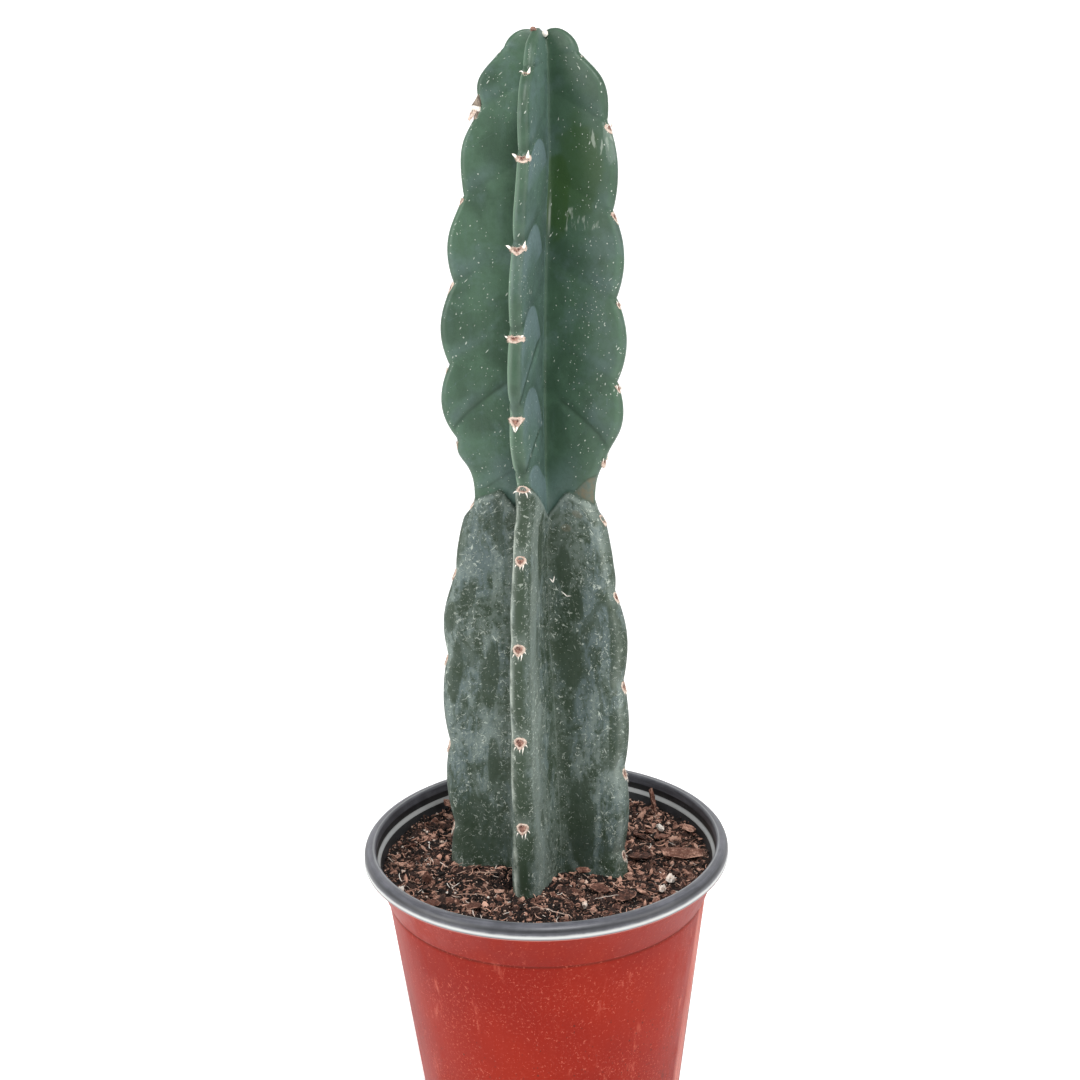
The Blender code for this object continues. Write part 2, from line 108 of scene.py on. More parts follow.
TIP_AREOLE = 314 * MM
BUD_RISE = 1.4 * MM
BUD_INSET = 1.5 * MM
AREOLES = [-18, 18.7, 55.3, 93, 127, 153.4, 181, 211.8, 243.4, 275.1, 303.9, 318.5]
CREST = [(-64, 37.5), (-11, 37.3), (41, 38), (77, 37.7), (112, 33.8), (130, 31.5), (138, 29.5), (147, 25.3)]
CREST += [(165, 30.7), (197, 34.3), (228, 32.8), (259, 29.8), (285, 27.2), (311, 15.8), (321, 9)]
SWELL = [(-11, 2.2), (60, 2.2), (95, 2.8), (122, 0.6), (147, 0), (175, 3.6), (213, 3.9), (245, 3.9)]
SWELL += [(270, 2.6), (300, 3), (311, 2), (321, 0.3)]
VALLEY = [
    (-64, 14), (-11, 16), (22, 14.5), (54, 12.5), (72, 10.5), (104, 7.5), (139, 7.2), (169, 5), (315, 4)]
GROOVE_ROUND = [(-64, 8), (22, 8), (90, 6.5), (139, 5), (169, 4), (315, 2.5)]
CREST_ROUND = [
    (-64, 5.8), (-11, 5.6), (20, 4.6), (60, 4.1), (100, 3.9), (140, 3.5), (160, 2.9), (240, 2.5), (300, 2)]
FLANK_BULGE = [(-64, 0.1), (130, 0.1), (165, 0.7), (270, 0.7), (300, 0.3)]
GROOVE_HEIGHT = [(-64, -64), (110, 110), (150, 150), (185, 196), (250, 263), (292.4, 302), (321, 314)]


def linear(red, green, blue):
    """Turns a colour as seen on a screen, 0 to 255, into the linear one that shaders take."""
    shares = [value / 255 for value in (red, green, blue)]
    return tuple(s / 12.92 if s <= 0.04045 else ((s + 0.055) / 1.055) ** 2.4 for s in shares)


# Node building

class Socket:
    """One value in a node tree. Arithmetic on it adds Math nodes and gives their result."""

    def __init__(self, tree, socket):
        self.tree = tree
        self.socket = socket

    def math(self, operation, *others):
        """A Math node that takes this value first."""
        return self.tree.math(operation, self, *others)

    def clamp(self, low=0.0, high=1.0):
        """The value, held between two bounds."""
        return self.math("MAXIMUM", low).math("MINIMUM", high)

    def __add__(self, other):
        return self.math("ADD", other)

    def __radd__(self, other):
        return self.math("ADD", other)

    def __sub__(self, other):
        return self.math("SUBTRACT", other)

    def __rsub__(self, other):
        return self.tree.math("SUBTRACT", other, self)

    def __mul__(self, other):
        return self.math("MULTIPLY", other)

    def __rmul__(self, other):
        return self.math("MULTIPLY", other)

    def __truediv__(self, other):
        return self.math("DIVIDE", other)

    def __rtruediv__(self, other):
        return self.tree.math("DIVIDE", other, self)

    def __pow__(self, other):
        return self.math("POWER", other)

    def __gt__(self, other):
        return self.math("GREATER_THAN", other)

    def __lt__(self, other):
        return self.math("LESS_THAN", other)


class Tree:
    """Adds nodes to a shader or Geometry Nodes tree."""

    def __init__(self, tree):
        self.tree = tree

    def node(self, kind, settings=(), values=(), out=0):
        """Adds a node, sets it up, fills or links its sockets, and gives one of its outputs.

        A list in a socket's place links each of its values.
        """
        made = self.tree.nodes.new(kind)
        for name, value in dict(settings).items():
            setattr(made, name, value)
        pairs = values.items() if isinstance(values, dict) else enumerate(values)
        for key, value in pairs:
            socket = made.inputs[key]
            if isinstance(value, (Socket, list)):
                for part in value if isinstance(value, list) else [value]:
                    self.tree.links.new(part.socket, socket)
            elif socket.type == "RGBA":
                socket.default_value = (*value[:3], 1.0)
            else:
                socket.default_value = value
        return Socket(self, made.outputs[out]) if made.outputs else None

    def sibling(self, socket, name):
        """Another output of the node that a socket comes from."""
        return Socket(self, socket.socket.node.outputs[name])

    def math(self, operation, *values):
        """A Math node."""
        return self.node("ShaderNodeMath", {"operation": operation}, values)

    def vector(self, x, y, z):
        """A vector of three numbers."""
        return self.node("ShaderNodeCombineXYZ", (), (x, y, z))

    def apart(self, vector):
        """The three numbers of a vector."""
        x = self.node("ShaderNodeSeparateXYZ", (), (vector,))
        return x, self.sibling(x, "Y"), self.sibling(x, "Z")

    def join(self, operation, a, b):
        """A Vector Math node on two vectors."""
        return self.node("ShaderNodeVectorMath", {"operation": operation}, (a, b))

    def stretch(self, vector, x, y, z):
        """A vector whose three numbers are scaled one by one."""
        return self.join("MULTIPLY", vector, (x, y, z))

    def mix(self, factor, a, b):
        """Colour a where the factor is 0 and colour b where it is 1."""
        return self.node("ShaderNodeMix", {"data_type": "RGBA"}, {0: factor, 6: a, 7: b}, 2)

    def fade(self, value, low, high):
        """Rises smoothly from 0 at low to 1 at high, which may be below low."""
        values = {"Value": value, "From Min": low, "From Max": high}
        return self.node("ShaderNodeMapRange", {"interpolation_type": "SMOOTHSTEP"}, values)

    def coats(self, colour, *coats):
        """Lays coats over a colour one after another, each with how much of it shows and its colour."""
        for cover, tint in coats:
            colour = self.mix(cover, colour, tint)
        return colour

    def noise(self, vector, scale, detail=3.0, roughness=0.5, distortion=0.0, up=1.0):
        """Noise from 0 to 1. Where up is below 1, it is drawn out along Z."""
        if up != 1.0:
            vector = self.stretch(vector, 1.0, 1.0, up)
        values = {"Vector": vector, "Scale": scale, "Detail": detail, "Roughness": roughness}
        return self.node("ShaderNodeTexNoise", (), {**values, "Distortion": distortion})

    def cells(self, vector, scale, dimensions="3D"):
        """Distance to the nearest of the points that are scattered through space or over a plane."""
        values = {"Vector": vector, "Scale": scale}
        return self.node("ShaderNodeTexVoronoi", {"voronoi_dimensions": dimensions}, values)

    def table(self, value, pairs):
        """Reads (height, value) pairs in millimetres at a height in metres, along a smooth curve."""
        heights = [pair[0] * MM for pair in pairs]
        values = [pair[1] * MM for pair in pairs]
        span, rise = heights[-1] - heights[0], max(values) - min(values)
        share = (value - heights[0]) / span
        read = self.node("ShaderNodeFloatCurve", (), {"Factor": 1.0, "Value": share})
        mapping = read.socket.node.mapping
        curve = mapping.curves[0]
        while len(curve.points) < len(pairs):
            curve.points.new(0.5, 0.5)
        for point, h, v in zip(curve.points, heights, values):
            point.location = ((h - heights[0]) / span, (v - min(values)) / rise)
            point.handle_type = "AUTO_CLAMPED"
        mapping.update()
        return read * rise + min(values)

    def random(self, low, high, seed, kind="FLOAT", out=1):
        """A random number for each point."""
        values = {"Min": low, "Max": high, "Seed": seed}
        return self.node("FunctionNodeRandomValue", {"data_type": kind}, values, out)

    def random_turn(self, tilt, spin, seed):
        """Random angles for each point, up to a tilt about X and Y and a spin about Z."""
        return self.random((-tilt, -tilt, -spin), (tilt, tilt, spin), seed, "FLOAT_VECTOR", 0)

    def turned(self, rotation, by):
        """A rotation turned further about its own axes."""
        return self.node(
            "FunctionNodeRotateEuler", {"rotation_type": "EULER", "space": "LOCAL"},
            {"Rotation": rotation, "Rotate By": by})

    def store(self, geometry, name, value, kind="FLOAT_VECTOR", domain="POINT"):
        """Keeps a value on the geometry under a name."""
        return self.node(
            "GeometryNodeStoreNamedAttribute", {"data_type": kind, "domain": domain},
            {"Geometry": geometry, "Name": name, "Value": value})

    def stored(self, name, kind="FLOAT_VECTOR"):
        """A value that was kept under a name."""
        return self.node("GeometryNodeInputNamedAttribute", {"data_type": kind}, {"Name": name})

    def source(self, thing):
        """The geometry of an object."""
        return self.node("GeometryNodeObjectInfo", (), {"Object": thing}, "Geometry")

    def scatter(self, mesh, where, density, seed):
        """Random points on the faces of a mesh."""
        return self.node(
            "GeometryNodeDistributePointsOnFaces", {"distribute_method": "RANDOM"},
            {"Mesh": mesh, "Selection": where, "Density": density, "Seed": seed})

    def place(self, points, instance, rotation, scale, pick=False):
        """Copies of a geometry on points, or of one picked from several."""
        values = {"Points": points, "Instance": instance, "Rotation": rotation, "Scale": scale}
        return self.node("GeometryNodeInstanceOnPoints", (), {**values, "Pick Instance": pick})


def bell(distance, width):
    """1 at a distance of 0, and nearly 0 past twice the width."""
    share = distance / width
    return share.tree.math("EXPONENT", share * share * -1.0)


def geometry_tree(name, inputs):
    """A Geometry Nodes tree with named number inputs, its builder and its inputs' sockets."""
    group = bpy.data.node_groups.new(name, "GeometryNodeTree")
    group.interface.new_socket("Geometry", in_out="INPUT", socket_type="NodeSocketGeometry")
    group.interface.new_socket("Geometry", in_out="OUTPUT", socket_type="NodeSocketGeometry")
    for label, value in inputs.items():
        kind = "NodeSocketInt" if isinstance(value, int) else "NodeSocketFloat"
        group.interface.new_socket(label, in_out="INPUT", socket_type=kind).default_value = value
    tree = Tree(group)
    entry = tree.node("NodeGroupInput").socket.node
    return tree, {output.name: Socket(tree, output) for output in entry.outputs if output.name}


def finish_tree(tree, geometry, material):
    """Ends a Geometry Nodes tree in real, painted geometry and gives the tree."""
    real = tree.node("GeometryNodeRealizeInstances", (), {"Geometry": geometry})
    painted = tree.node("GeometryNodeSetMaterial", (), {"Geometry": real, "Material": material})
    tree.node("NodeGroupOutput", (), [painted])
    return tree


def link_piece(name, mesh):
    """Puts a mesh in the scene as an object."""
    made = bpy.data.objects.new(name, mesh)
    bpy.context.scene.collection.objects.link(made)
    return made


def finished(made, name, outwards=True, smooth=False):
    """Turns a BMesh into a mesh, where asked with its faces made to look outwards and smoothed."""
    if outwards:
        bmesh.ops.recalc_face_normals(made, faces=made.faces[:])
    mesh = bpy.data.meshes.new(name)
    made.to_mesh(mesh)
    made.free()
    if smooth:
        mesh.shade_smooth()
    return mesh


def bridge(made, rows):
    """Joins closed rows of points, each to the next, with four-sided faces."""
    for lower, upper in zip(rows, rows[1:]):
        for side in range(len(lower)):
            after = (side + 1) % len(lower)
            made.faces.new((lower[side], lower[after], upper[after], upper[side]))


def grown_by(name, tree, inputs=(), start=None, sources=()):
    """A piece made by a Geometry Nodes tree, turned into a plain mesh, after which its sources go."""
    piece = link_piece(name, start or bpy.data.meshes.new(name))
    modifier = piece.modifiers.new(name, "NODES")
    modifier.node_group = tree.tree
    for item in tree.tree.interface.items_tree:
        if item.in_out == "INPUT" and item.name in inputs:
            modifier[item.identifier] = inputs[item.name]
    settle(piece)
    for source in sources:
        bpy.data.objects.remove(source)
    if not piece.data.polygons:
        raise RuntimeError(f"{name} came out empty")
    return piece


def settle(piece):
    """Keeps the mesh that a piece's modifiers make and takes them off."""
    bpy.context.view_layer.update()
    seen = piece.evaluated_get(bpy.context.evaluated_depsgraph_get())
    result = bpy.data.meshes.new_from_object(seen)
    piece.modifiers.clear()
    piece.data = result
    result.name = piece.name


def hand_over(piece, node):
    """Ties a finished piece to the frame in place of a CAD node."""
    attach(piece, "root")
    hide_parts(node)


def shade(piece, degrees=None):
    """Smooths a piece, but for the edges sharper than an angle."""
    piece.data.shade_smooth()
    if degrees:
        piece.data.set_sharp_from_angle(angle=math.radians(degrees))


# Shaders

def new_material(name):
    """A material, the builder of its tree and its object coordinates, the same metres on every piece."""
    made = bpy.data.materials.new(name)
    made.use_nodes = True
    tree = Tree(made.node_tree)
    return made, tree, tree.node("ShaderNodeTexCoord", (), (), "Object")


def paint(material, tree, colour, roughness, height=None, depth=0.001, **plain):
    """Links what varies to the Principled shader and sets what doesn't on its own sockets."""
    shader = material.node_tree.nodes["Principled BSDF"]
    links = material.node_tree.links
    links.new(colour.socket, shader.inputs["Base Color"])
    if isinstance(roughness, Socket):
        links.new(roughness.socket, shader.inputs["Roughness"])
    else:
        shader.inputs["Roughness"].default_value = roughness
    for name, value in plain.items():
        shader.inputs[name.replace("_", " ")].default_value = value
    if height is not None:
        bump = tree.node("ShaderNodeBump", (), {"Strength": 1.0, "Distance": depth, "Height": height})
        links.new(bump.socket, shader.inputs["Normal"])
    return material


def attribute(tree, name, out="Vector"):
    """A value that a piece's mesh carries under a name."""
    return tree.node("ShaderNodeAttribute", {"attribute_name": name}, (), out)


# Stem

def rib_shift(tree, rib, young):
    """Areoles stand in a two-fifths spiral, and a little lower than that in the young growth."""
    spiral = tree.math("FRACT", rib * 0.6 + 0.001) - 0.001
    return spiral + young * (rib > 0.5) * YOUNG_DRIFT


def areole_count(tree, height):
    """The front rib's areole number, with its share of the way to the next, at a height."""
    return tree.table(height, [(level, number) for number, level in enumerate(AREOLES)]) / MM


def areole_height(tree, count):
    """The height on the front rib that belongs to an areole number."""
    return tree.table(count * MM, list(enumerate(AREOLES)))


def crest_radius(tree, height, phase):
    """How far a rib's crest stands from the centre line, phase running from one notch to the next."""
    lobe = tree.math("SINE", phase * math.pi) ** 0.85
    return tree.table(height, CREST) + tree.table(height, SWELL) * lobe


def half_section(tree, crest, crest_height, groove_height, bulge, flank_share, arc_share):
    """A point of half a rib's section in its frame, the groove's distance and the way from the crest."""
    cos, sin = math.cos(HALF_RIB), math.sin(HALF_RIB)
    width = tree.math("MINIMUM", tree.table(crest_height, CREST_ROUND), crest * 0.32)
    valley = tree.math("MINIMUM", tree.table(groove_height, VALLEY), crest * 0.5)
    middle = crest - width
    back_x = valley * cos - middle
    back_y = valley * sin
    back = tree.math("SQRT", back_x * back_x + back_y * back_y)
    turn = tree.math("ARCTAN2", back_y, back_x) - tree.math("ARCCOSINE", width / back)
    touch_x = middle + width * tree.math("COSINE", turn)
    touch_y = width * tree.math("SINE", turn)
    length = tree.math("SQRT", back * back - width * width)
    flank_x = (touch_x - valley * cos) / length
    flank_y = (touch_y - valley * sin) / length
    rounding = tree.math("MINIMUM", tree.table(groove_height, GROOVE_ROUND) * 0.5, length * 0.3)
    opening = flank_x * cos + flank_y * sin
    cross = flank_y * cos - flank_x * sin
    along = length * flank_share ** 1.25
    rise = opening * tree.math("SQRT", along * along + rounding * rounding)
    belly = bulge * 4.0 * flank_share * (1.0 - flank_share)
    out_flank = valley * cos + rise * cos - cross * along * sin - flank_y * belly
    side_flank = valley * sin + rise * sin + cross * along * cos + flank_x * belly
    bend = turn * (1.0 - arc_share)
    on_arc = arc_share > JUST_OVER_ZERO
    out_arc = middle + width * tree.math("COSINE", bend)
    side_arc = width * tree.math("SINE", bend)
    outwards = out_flank + (out_arc - out_flank) * on_arc
    sideways = side_flank + (side_arc - side_flank) * on_arc
    across_flank = width * turn + length - along
    across = across_flank + (width * bend - across_flank) * on_arc
    return outwards, sideways, valley + opening * rounding, across


def rib_frame(tree, rib):
    """Sine and cosine of a rib's turn about the stem."""
    turn = rib * (math.tau / RIBS) + FRONT_RIB_TURN
    return tree.math("SINE", turn), tree.math("COSINE", turn)


def joint_height(share, rib):
    """Height of the line where the young growth starts, from the groove, share 0, to the crest, share 1."""
    front = 139 * MM + 16 * MM * share ** 0.8
    hump = 3 * MM * bell(share - 0.42, 0.18)
    side = 138.5 * MM + 11 * MM * share ** 0.45 - 5 * MM * share ** 5.0 + hump
    return side + (front - side) * (rib < 0.5)


def skin_tree(material):
    """The ribbed skin: a grid of columns round the stem and rows up it, set in place by the stem's rule."""
    inputs = {
        "Flank columns": 10, "Crest columns": 5, "Rows": 415, "Dome rows": 22, "Foot": FOOT_DROP,
        "Straight below": STRAIGHT_BELOW, "Dome start": DOME_START, "Dome rise": STEM_TIP - DOME_START,
        "Tip dip": 3.2 * MM, "Shoulder": 1.2 * MM, "Tuck": 0.9 * MM, "Crease": 0.1 * MM,
        "First crease": 0.8 * MM, "Unevenness": 0.5 * MM, "Husk seat": 2.3 * MM,
    }
    tree, entry = geometry_tree("Ribbed skin", inputs)
    half = entry["Flank columns"] + entry["Crest columns"]
    rows = entry["Rows"] + entry["Dome rows"] + 3.0
    grid = tree.node(
        "GeometryNodeMeshGrid", (), {"Vertices X": half * (2.0 * RIBS) + 1.0, "Vertices Y": rows}, "Mesh")
    index = tree.node("GeometryNodeInputIndex")
    column = tree.math("FLOOR", (index + 0.5) / rows)
    row = index - column * rows
    rib = tree.math("FLOOR", (column + 0.5) / (half * 2.0))
    place = column - rib * half * 2.0
    side = (place > half) * 2.0 - 1.0
    step = half - (place - half).math("ABSOLUTE")
    flank_share = (step / entry["Flank columns"]).math("MINIMUM", 1.0)
    arc_share = ((step - entry["Flank columns"]) / entry["Crest columns"]).math("MAXIMUM", 0.0)

    climb = ((row - 2.0) / entry["Rows"]).clamp()
    grown = entry["Straight below"] + (entry["Dome start"] - entry["Straight below"]) * climb
    in_foot = row < 1.5
    crest_height = grown - (grown + entry["Foot"]) * in_foot
    dome = ((row - 2.0 - entry["Rows"]) / entry["Dome rows"]).math("MAXIMUM", 0.0)
    spread = tree.math("COSINE", dome * (math.pi / 2)) * (row > 0.5)
    cap = entry["Dome rise"] * (1.0 - spread ** 2.76) * (dome > JUST_OVER_ZERO)
    dip = entry["Tip dip"] * (1.0 - spread) ** 4.0 * (dome > JUST_OVER_ZERO)

    notch_height = crest_height + cap - NOTCH_RISE
    young = notch_height > GROWTH_JOINT
    wrapped = rib - (rib > (RIBS - 0.5)) * RIBS
    count = areole_count(tree, notch_height.math("MAXIMUM", STRAIGHT_BELOW - NOTCH_RISE))
    turns = count + rib_shift(tree, wrapped, young)
    phase = tree.math("FRACT", turns)
    crest = crest_radius(tree, crest_height, phase)
    crest = crest - entry["Husk seat"] * bell(crest_height - HUSK_HEIGHT, HUSK_REACH) * (wrapped > 3.5)
    groove_height = tree.table(crest_height, GROOVE_HEIGHT)
    lobe = tree.math("SINE", phase * math.pi)
    bulge = tree.table(crest_height, FLANK_BULGE) * lobe
    outwards, sideways, inner, across = half_section(
        tree, crest, crest_height, groove_height, bulge, flank_share, arc_share)
    reach = tree.math("SQRT", outwards * outwards + sideways * sideways)
    share = ((reach - inner) / (crest - inner)).clamp()
    height = crest_height + (groove_height - crest_height) * (1.0 - share) * spread
    sine, cosine = rib_frame(tree, rib)
    lean = tree.table(crest_height, FRONT_LEAN) * share * (wrapped < 0.5)
    out, over = outwards * spread, (sideways * side - lean) * spread
    x = tree.table(height, CENTRE_X) + out * sine + over * cosine
    y = CENTRE_Y - out * cosine + over * sine
    z = height + cap - dip + POT_TOP
    shaped = tree.node("GeometryNodeSetPosition", (), {"Geometry": grid, "Position": tree.vector(x, y, z)})

    lift = height - joint_height(share, wrapped)
    depth = lift * -1.0 / (2.2 * MM)
    rounded = depth * tree.math("EXPONENT", 1.0 - depth) * (lift < 0.0)
    tucked = tree.math("EXPONENT", lift / (-2.5 * MM)) * tree.fade(lift, 0.0, 0.6 * MM)
    flank_only = 1.0 - share ** 3.0 * 0.85
    early = tree.fade(turns, 7.2, 6.7)
    leaned = turns - early * (0.09 + 0.46 * (1.0 - share) ** 0.65)
    lower_phase = tree.math("FRACT", leaned)
    near = (lower_phase - (lower_phase > 0.5)) * SPACING
    window = tree.fade(share, 0.1, 0.35) * tree.fade(share, 1.0, 0.93) * (crest_height > FIRST_CREASE)
    crease = (entry["Crease"] + entry["First crease"] * (leaned < 6.5)) * bell(near, 1.5 * MM) * window
    spot = tree.node("GeometryNodeInputPosition")
    rough = tree.noise(spot, 55.0, 2.0) - 0.5
    push = (entry["Shoulder"] * rounded - entry["Tuck"] * tucked) * flank_only - crease
    push = (push + entry["Unevenness"] * rough * (1.0 - share * 0.6)) * (dome < 0.2) * (row > 2.5)
    normal = tree.node("GeometryNodeInputNormal")
    offset = tree.node("ShaderNodeVectorMath", {"operation": "SCALE"}, {0: normal, "Scale": push})
    shaped = tree.store(shaped, "Rib", tree.vector(side * across, turns, wrapped))
    shaped = tree.store(shaped, "Growth", tree.vector(lift, share, near))
    shaped = tree.store(shaped, "UVMap", tree.sibling(grid, "UV Map"), "FLOAT2", "CORNER")
    relief = tree.node("GeometryNodeSetPosition", (), {"Geometry": shaped, "Offset": offset})
    closed = tree.node("GeometryNodeMergeByDistance", (), {"Geometry": relief, "Distance": 0.01 * MM})
    return finish_tree(tree, closed, material)


def marks(tree, surface, scale, chance, radius, turn=0.0, stretch=1.0):
    """Small dots scattered over a flat map of a surface, or dashes where they are stretched."""
    laid = tree.node(
        "ShaderNodeMapping", {"vector_type": "TEXTURE"},
        {"Vector": surface, "Rotation": (0.0, 0.0, turn), "Scale": (1.0, stretch, 1.0)})
    distance = tree.cells(laid, scale, "2D")
    pick, size, _ = tree.apart(tree.sibling(distance, "Color"))
    limit = radius * (0.6 + size * 0.6)
    return tree.fade(distance, limit, limit * 0.5) * (pick < chance) * (0.5 + size * 0.5)


def scratches(tree, vector, scale, width, breaks):
    """Thin bent lines, broken into short pieces, more of them where breaks is low."""
    bent = tree.noise(vector, scale, 1.5, 0.5, 0.4)
    gaps = tree.noise(vector, scale * 1.3, 2.0)
    return bell(bent - 0.5, width) * tree.fade(gaps, breaks, breaks + 0.05)


def patches(tree, rib, share, height, ragged, places):
    """Ragged ovals on the ribs, by rib, share of the way to the crest, height and reach in millimetres."""
    found = None
    for number, middle, lift, wide, tall in places:
        here = patch(tree, (share, height), (middle, lift * MM), (wide, tall * MM), ragged)
        here = here * bell(rib - float(number), 0.3)
        found = here if found is None else found.math("MAXIMUM", here)
    return found


def patch(tree, point, middle, reach, ragged):
    """1 in an oval patch and 0 outside it, with a ragged edge."""
    x, y = ((value - centre) / size for value, centre, size in zip(point, middle, reach))
    distance = tree.math("SQRT", x * x + y * y) + (ragged - 0.5) * 0.9
    return tree.fade(distance, 1.1, 0.8)


# Patches of the old growth: rib, share of the way to the crest, height, reach across and reach up
BARE_PATCHES = [
    (4, 0.86, 74, 0.11, 13), (4, 0.33, 72, 0.13, 15), (4, 0.93, 97, 0.07, 7), (4, 0.72, 106, 0.12, 6),
    (4, 0.24, 36, 0.1, 12), (4, 0.55, 5, 0.55, 17), (1, 0.21, 118, 0.13, 11), (1, 0.38, 103, 0.12, 7),
    (1, 0.22, 80, 0.2, 13), (1, 0.92, 88, 0.09, 20), (1, 0.87, 49, 0.11, 15), (1, 0.28, 10, 0.25, 22),
    (0, 0.35, 127, 0.13, 15)]
WAX_PATCHES = [
    (4, 0.58, 70, 0.1, 13), (4, 0.55, 45, 0.45, 11), (4, 0.55, 119, 0.42, 15), (1, 0.5, 60, 0.3, 16),
    (1, 0.62, 92, 0.22, 22), (1, 0.8, 20, 0.3, 18)]


def skin_material(settings):
    """Waxy skin: green with a bluish bloom on the young growth, dusty grey-green on the old."""
    material, tree, spot = new_material("cactus_skin")
    _, _, z = tree.apart(spot)
    across, turns, rib = tree.apart(attribute(tree, "Rib"))
    lift, share, near = tree.apart(attribute(tree, "Growth"))
    height = z - POT_TOP
    place = (share, height)
    surface = tree.vector(across + rib * 0.1, height, 0.0)
    broad = tree.noise(spot, 32.0, 3.0)
    middle = tree.noise(spot, 130.0, 4.0, 0.55)
    fine = tree.noise(spot, 520.0, 4.0, 0.65)
    grain = tree.noise(spot, 1900.0, 2.0)
    streaked = tree.noise(spot, 240.0, 4.0, 0.6, up=0.14)
    front = 1.0 - tree.fade(rib, 0.2, 0.8)
    left_side = tree.fade(across, 0.0, -0.5 * MM)
    right_rib = tree.fade(rib, 0.6, 0.9) * tree.fade(rib, 1.4, 1.1) * left_side
    is_young = tree.fade(lift + (fine - 0.5) * 1.0 * MM, -0.2 * MM, 0.2 * MM)

    # Young growth: bloom on the front rib's right flank, with painted highlights and painted shade on its
    # swellings, and painted shade in the creases, under the areoles and on the right rib
    blotched = tree.noise(spot, 75.0, 5.0, 0.62, 0.6)
    right_flank = front * tree.fade(across, 2.0 * MM, 5.0 * MM)
    bow = (across - 14.5 * MM) / (8.7 * MM)
    tongue_top = (9.0 - turns.math("ROUND")) * 1.9 * MM + 2.7 * MM
    phase = tree.math("FRACT", turns)
    above = (phase - (phase > 0.5)) * SPACING + (1.0 - share) * 11 * MM
    over_tongue = above + bow * bow * 4.0 * MM - tongue_top
    # Painted highlight: a rounded pale patch on each swelling of the front rib's right flank, below its
    # crease
    tongue_highlight = tree.fade(over_tongue, 0.4 * MM, -0.4 * MM) * tree.fade(over_tongue, -18 * MM, -2 * MM)
    tongue_highlight = tongue_highlight * tree.fade(turns, 9.7, 9.3)
    band = bell(near - 3.0 * MM, 3.0 * MM) * tree.fade(share, 0.35, 0.75) * tree.fade(share, 1.0, 0.9)
    bloom = right_flank * (0.35 + tongue_highlight * 0.65) + band * 0.35 + tree.fade(streaked, 0.45, 0.7) * 0.12
    bloom = (bloom * (0.7 + middle * 0.6)).math("MINIMUM", 1.0)
    # Painted shade in a band just above the edge of each pale patch
    over = tree.fade(over_tongue, -0.3 * MM, 0.5 * MM) * tree.fade(over_tongue, 7 * MM, 1 * MM)
    first = turns < 7.0
    reach = tree.fade(share, 0.45 - first * 0.35, 0.75 - first * 0.45) * tree.fade(share, 1.0, 0.9)
    # Painted shade under each areole of the front rib
    tuck = bell(near - 1.0 * MM, 2.2 * MM) * bell(across - 2.5 * MM, 3.5 * MM) * front
    olive, low_olive = (
        patch(tree, place, *where, middle) * right_rib
        for where in (((0.46, 0.27), (0.42, 0.019)), ((0.12, 0.262), (0.2, 0.017))))
    scraped = patch(tree, place, (0.45, 0.253), (0.35, 0.005), middle)
    scraped = scraped + patch(tree, place, (0.84, 0.282), (0.2, 0.009), middle)
    scraped = tree.fade(tree.noise(spot, 520.0, 3.0, up=0.3), 0.55, 0.66) * scraped
    corky = patch(tree, place, (0.95, 0.279), (0.08, 0.007), fine)
    scored = bell(share - 0.025, 0.012) * bell(height - 254 * MM, 6 * MM)
    # Painted highlight along the left edge of each young rib's crest, strongest on the front rib
    edge = bell(across + 2.5 * MM, 1.1 * MM)
    edge = edge * tree.fade(near, -1.0 * MM, -2.5 * MM).math("MAXIMUM", near > 1 * MM)
    young = tree.coats(
        settings.young_green,
        (tree.fade(broad * 0.5 + blotched * 0.5, 0.42, 0.6) * 0.55, settings.young_dark_and_shade),
        (tree.fade(tree.noise(spot, 48.0, 5.0, 0.65), 0.5, 0.66) * 0.4, settings.bloom),
        (bloom, settings.bloom),
        (over * right_flank * 0.35 * tree.fade(turns, 9.9, 9.5), settings.young_dark_and_shade),
        # Painted shade: the right rib's face towards the front rib is darkened, more so near the top
        (right_rib * (0.3 + tree.fade(height, 270 * MM, 300 * MM) * 0.22), settings.young_dark_and_shade),
        # Painted shade along each crease line below the notches, strongest at the first crease
        (bell(near, 0.8 * MM) * reach * (0.08 + 0.55 * first), settings.young_dark_and_shade),
        (tuck * 0.5, settings.young_dark_and_shade),
        (tree.fade(lift, 22 * MM, 4 * MM) * tree.fade(share, 0.9, 0.3) * 0.4, settings.bloom),
        (tree.fade(fine, 0.45, 0.6) * 0.16, settings.young_dark_and_shade),
        (olive * 0.7 * (0.75 + fine * 0.4), settings.olive),
        (low_olive * 0.85 * (0.75 + fine * 0.4), settings.olive),
        (scraped * right_rib * 0.28, settings.speck),
        (corky * right_rib * (0.1 + fine * 0.5), settings.dust),
        (scored * right_rib * 0.35, settings.speck),
        (bell(across - 0.5 * MM, 2.6 * MM) * front * 0.35, settings.young_dark_and_shade),
        (edge * (0.1 + front * 0.45), settings.crest_highlight))
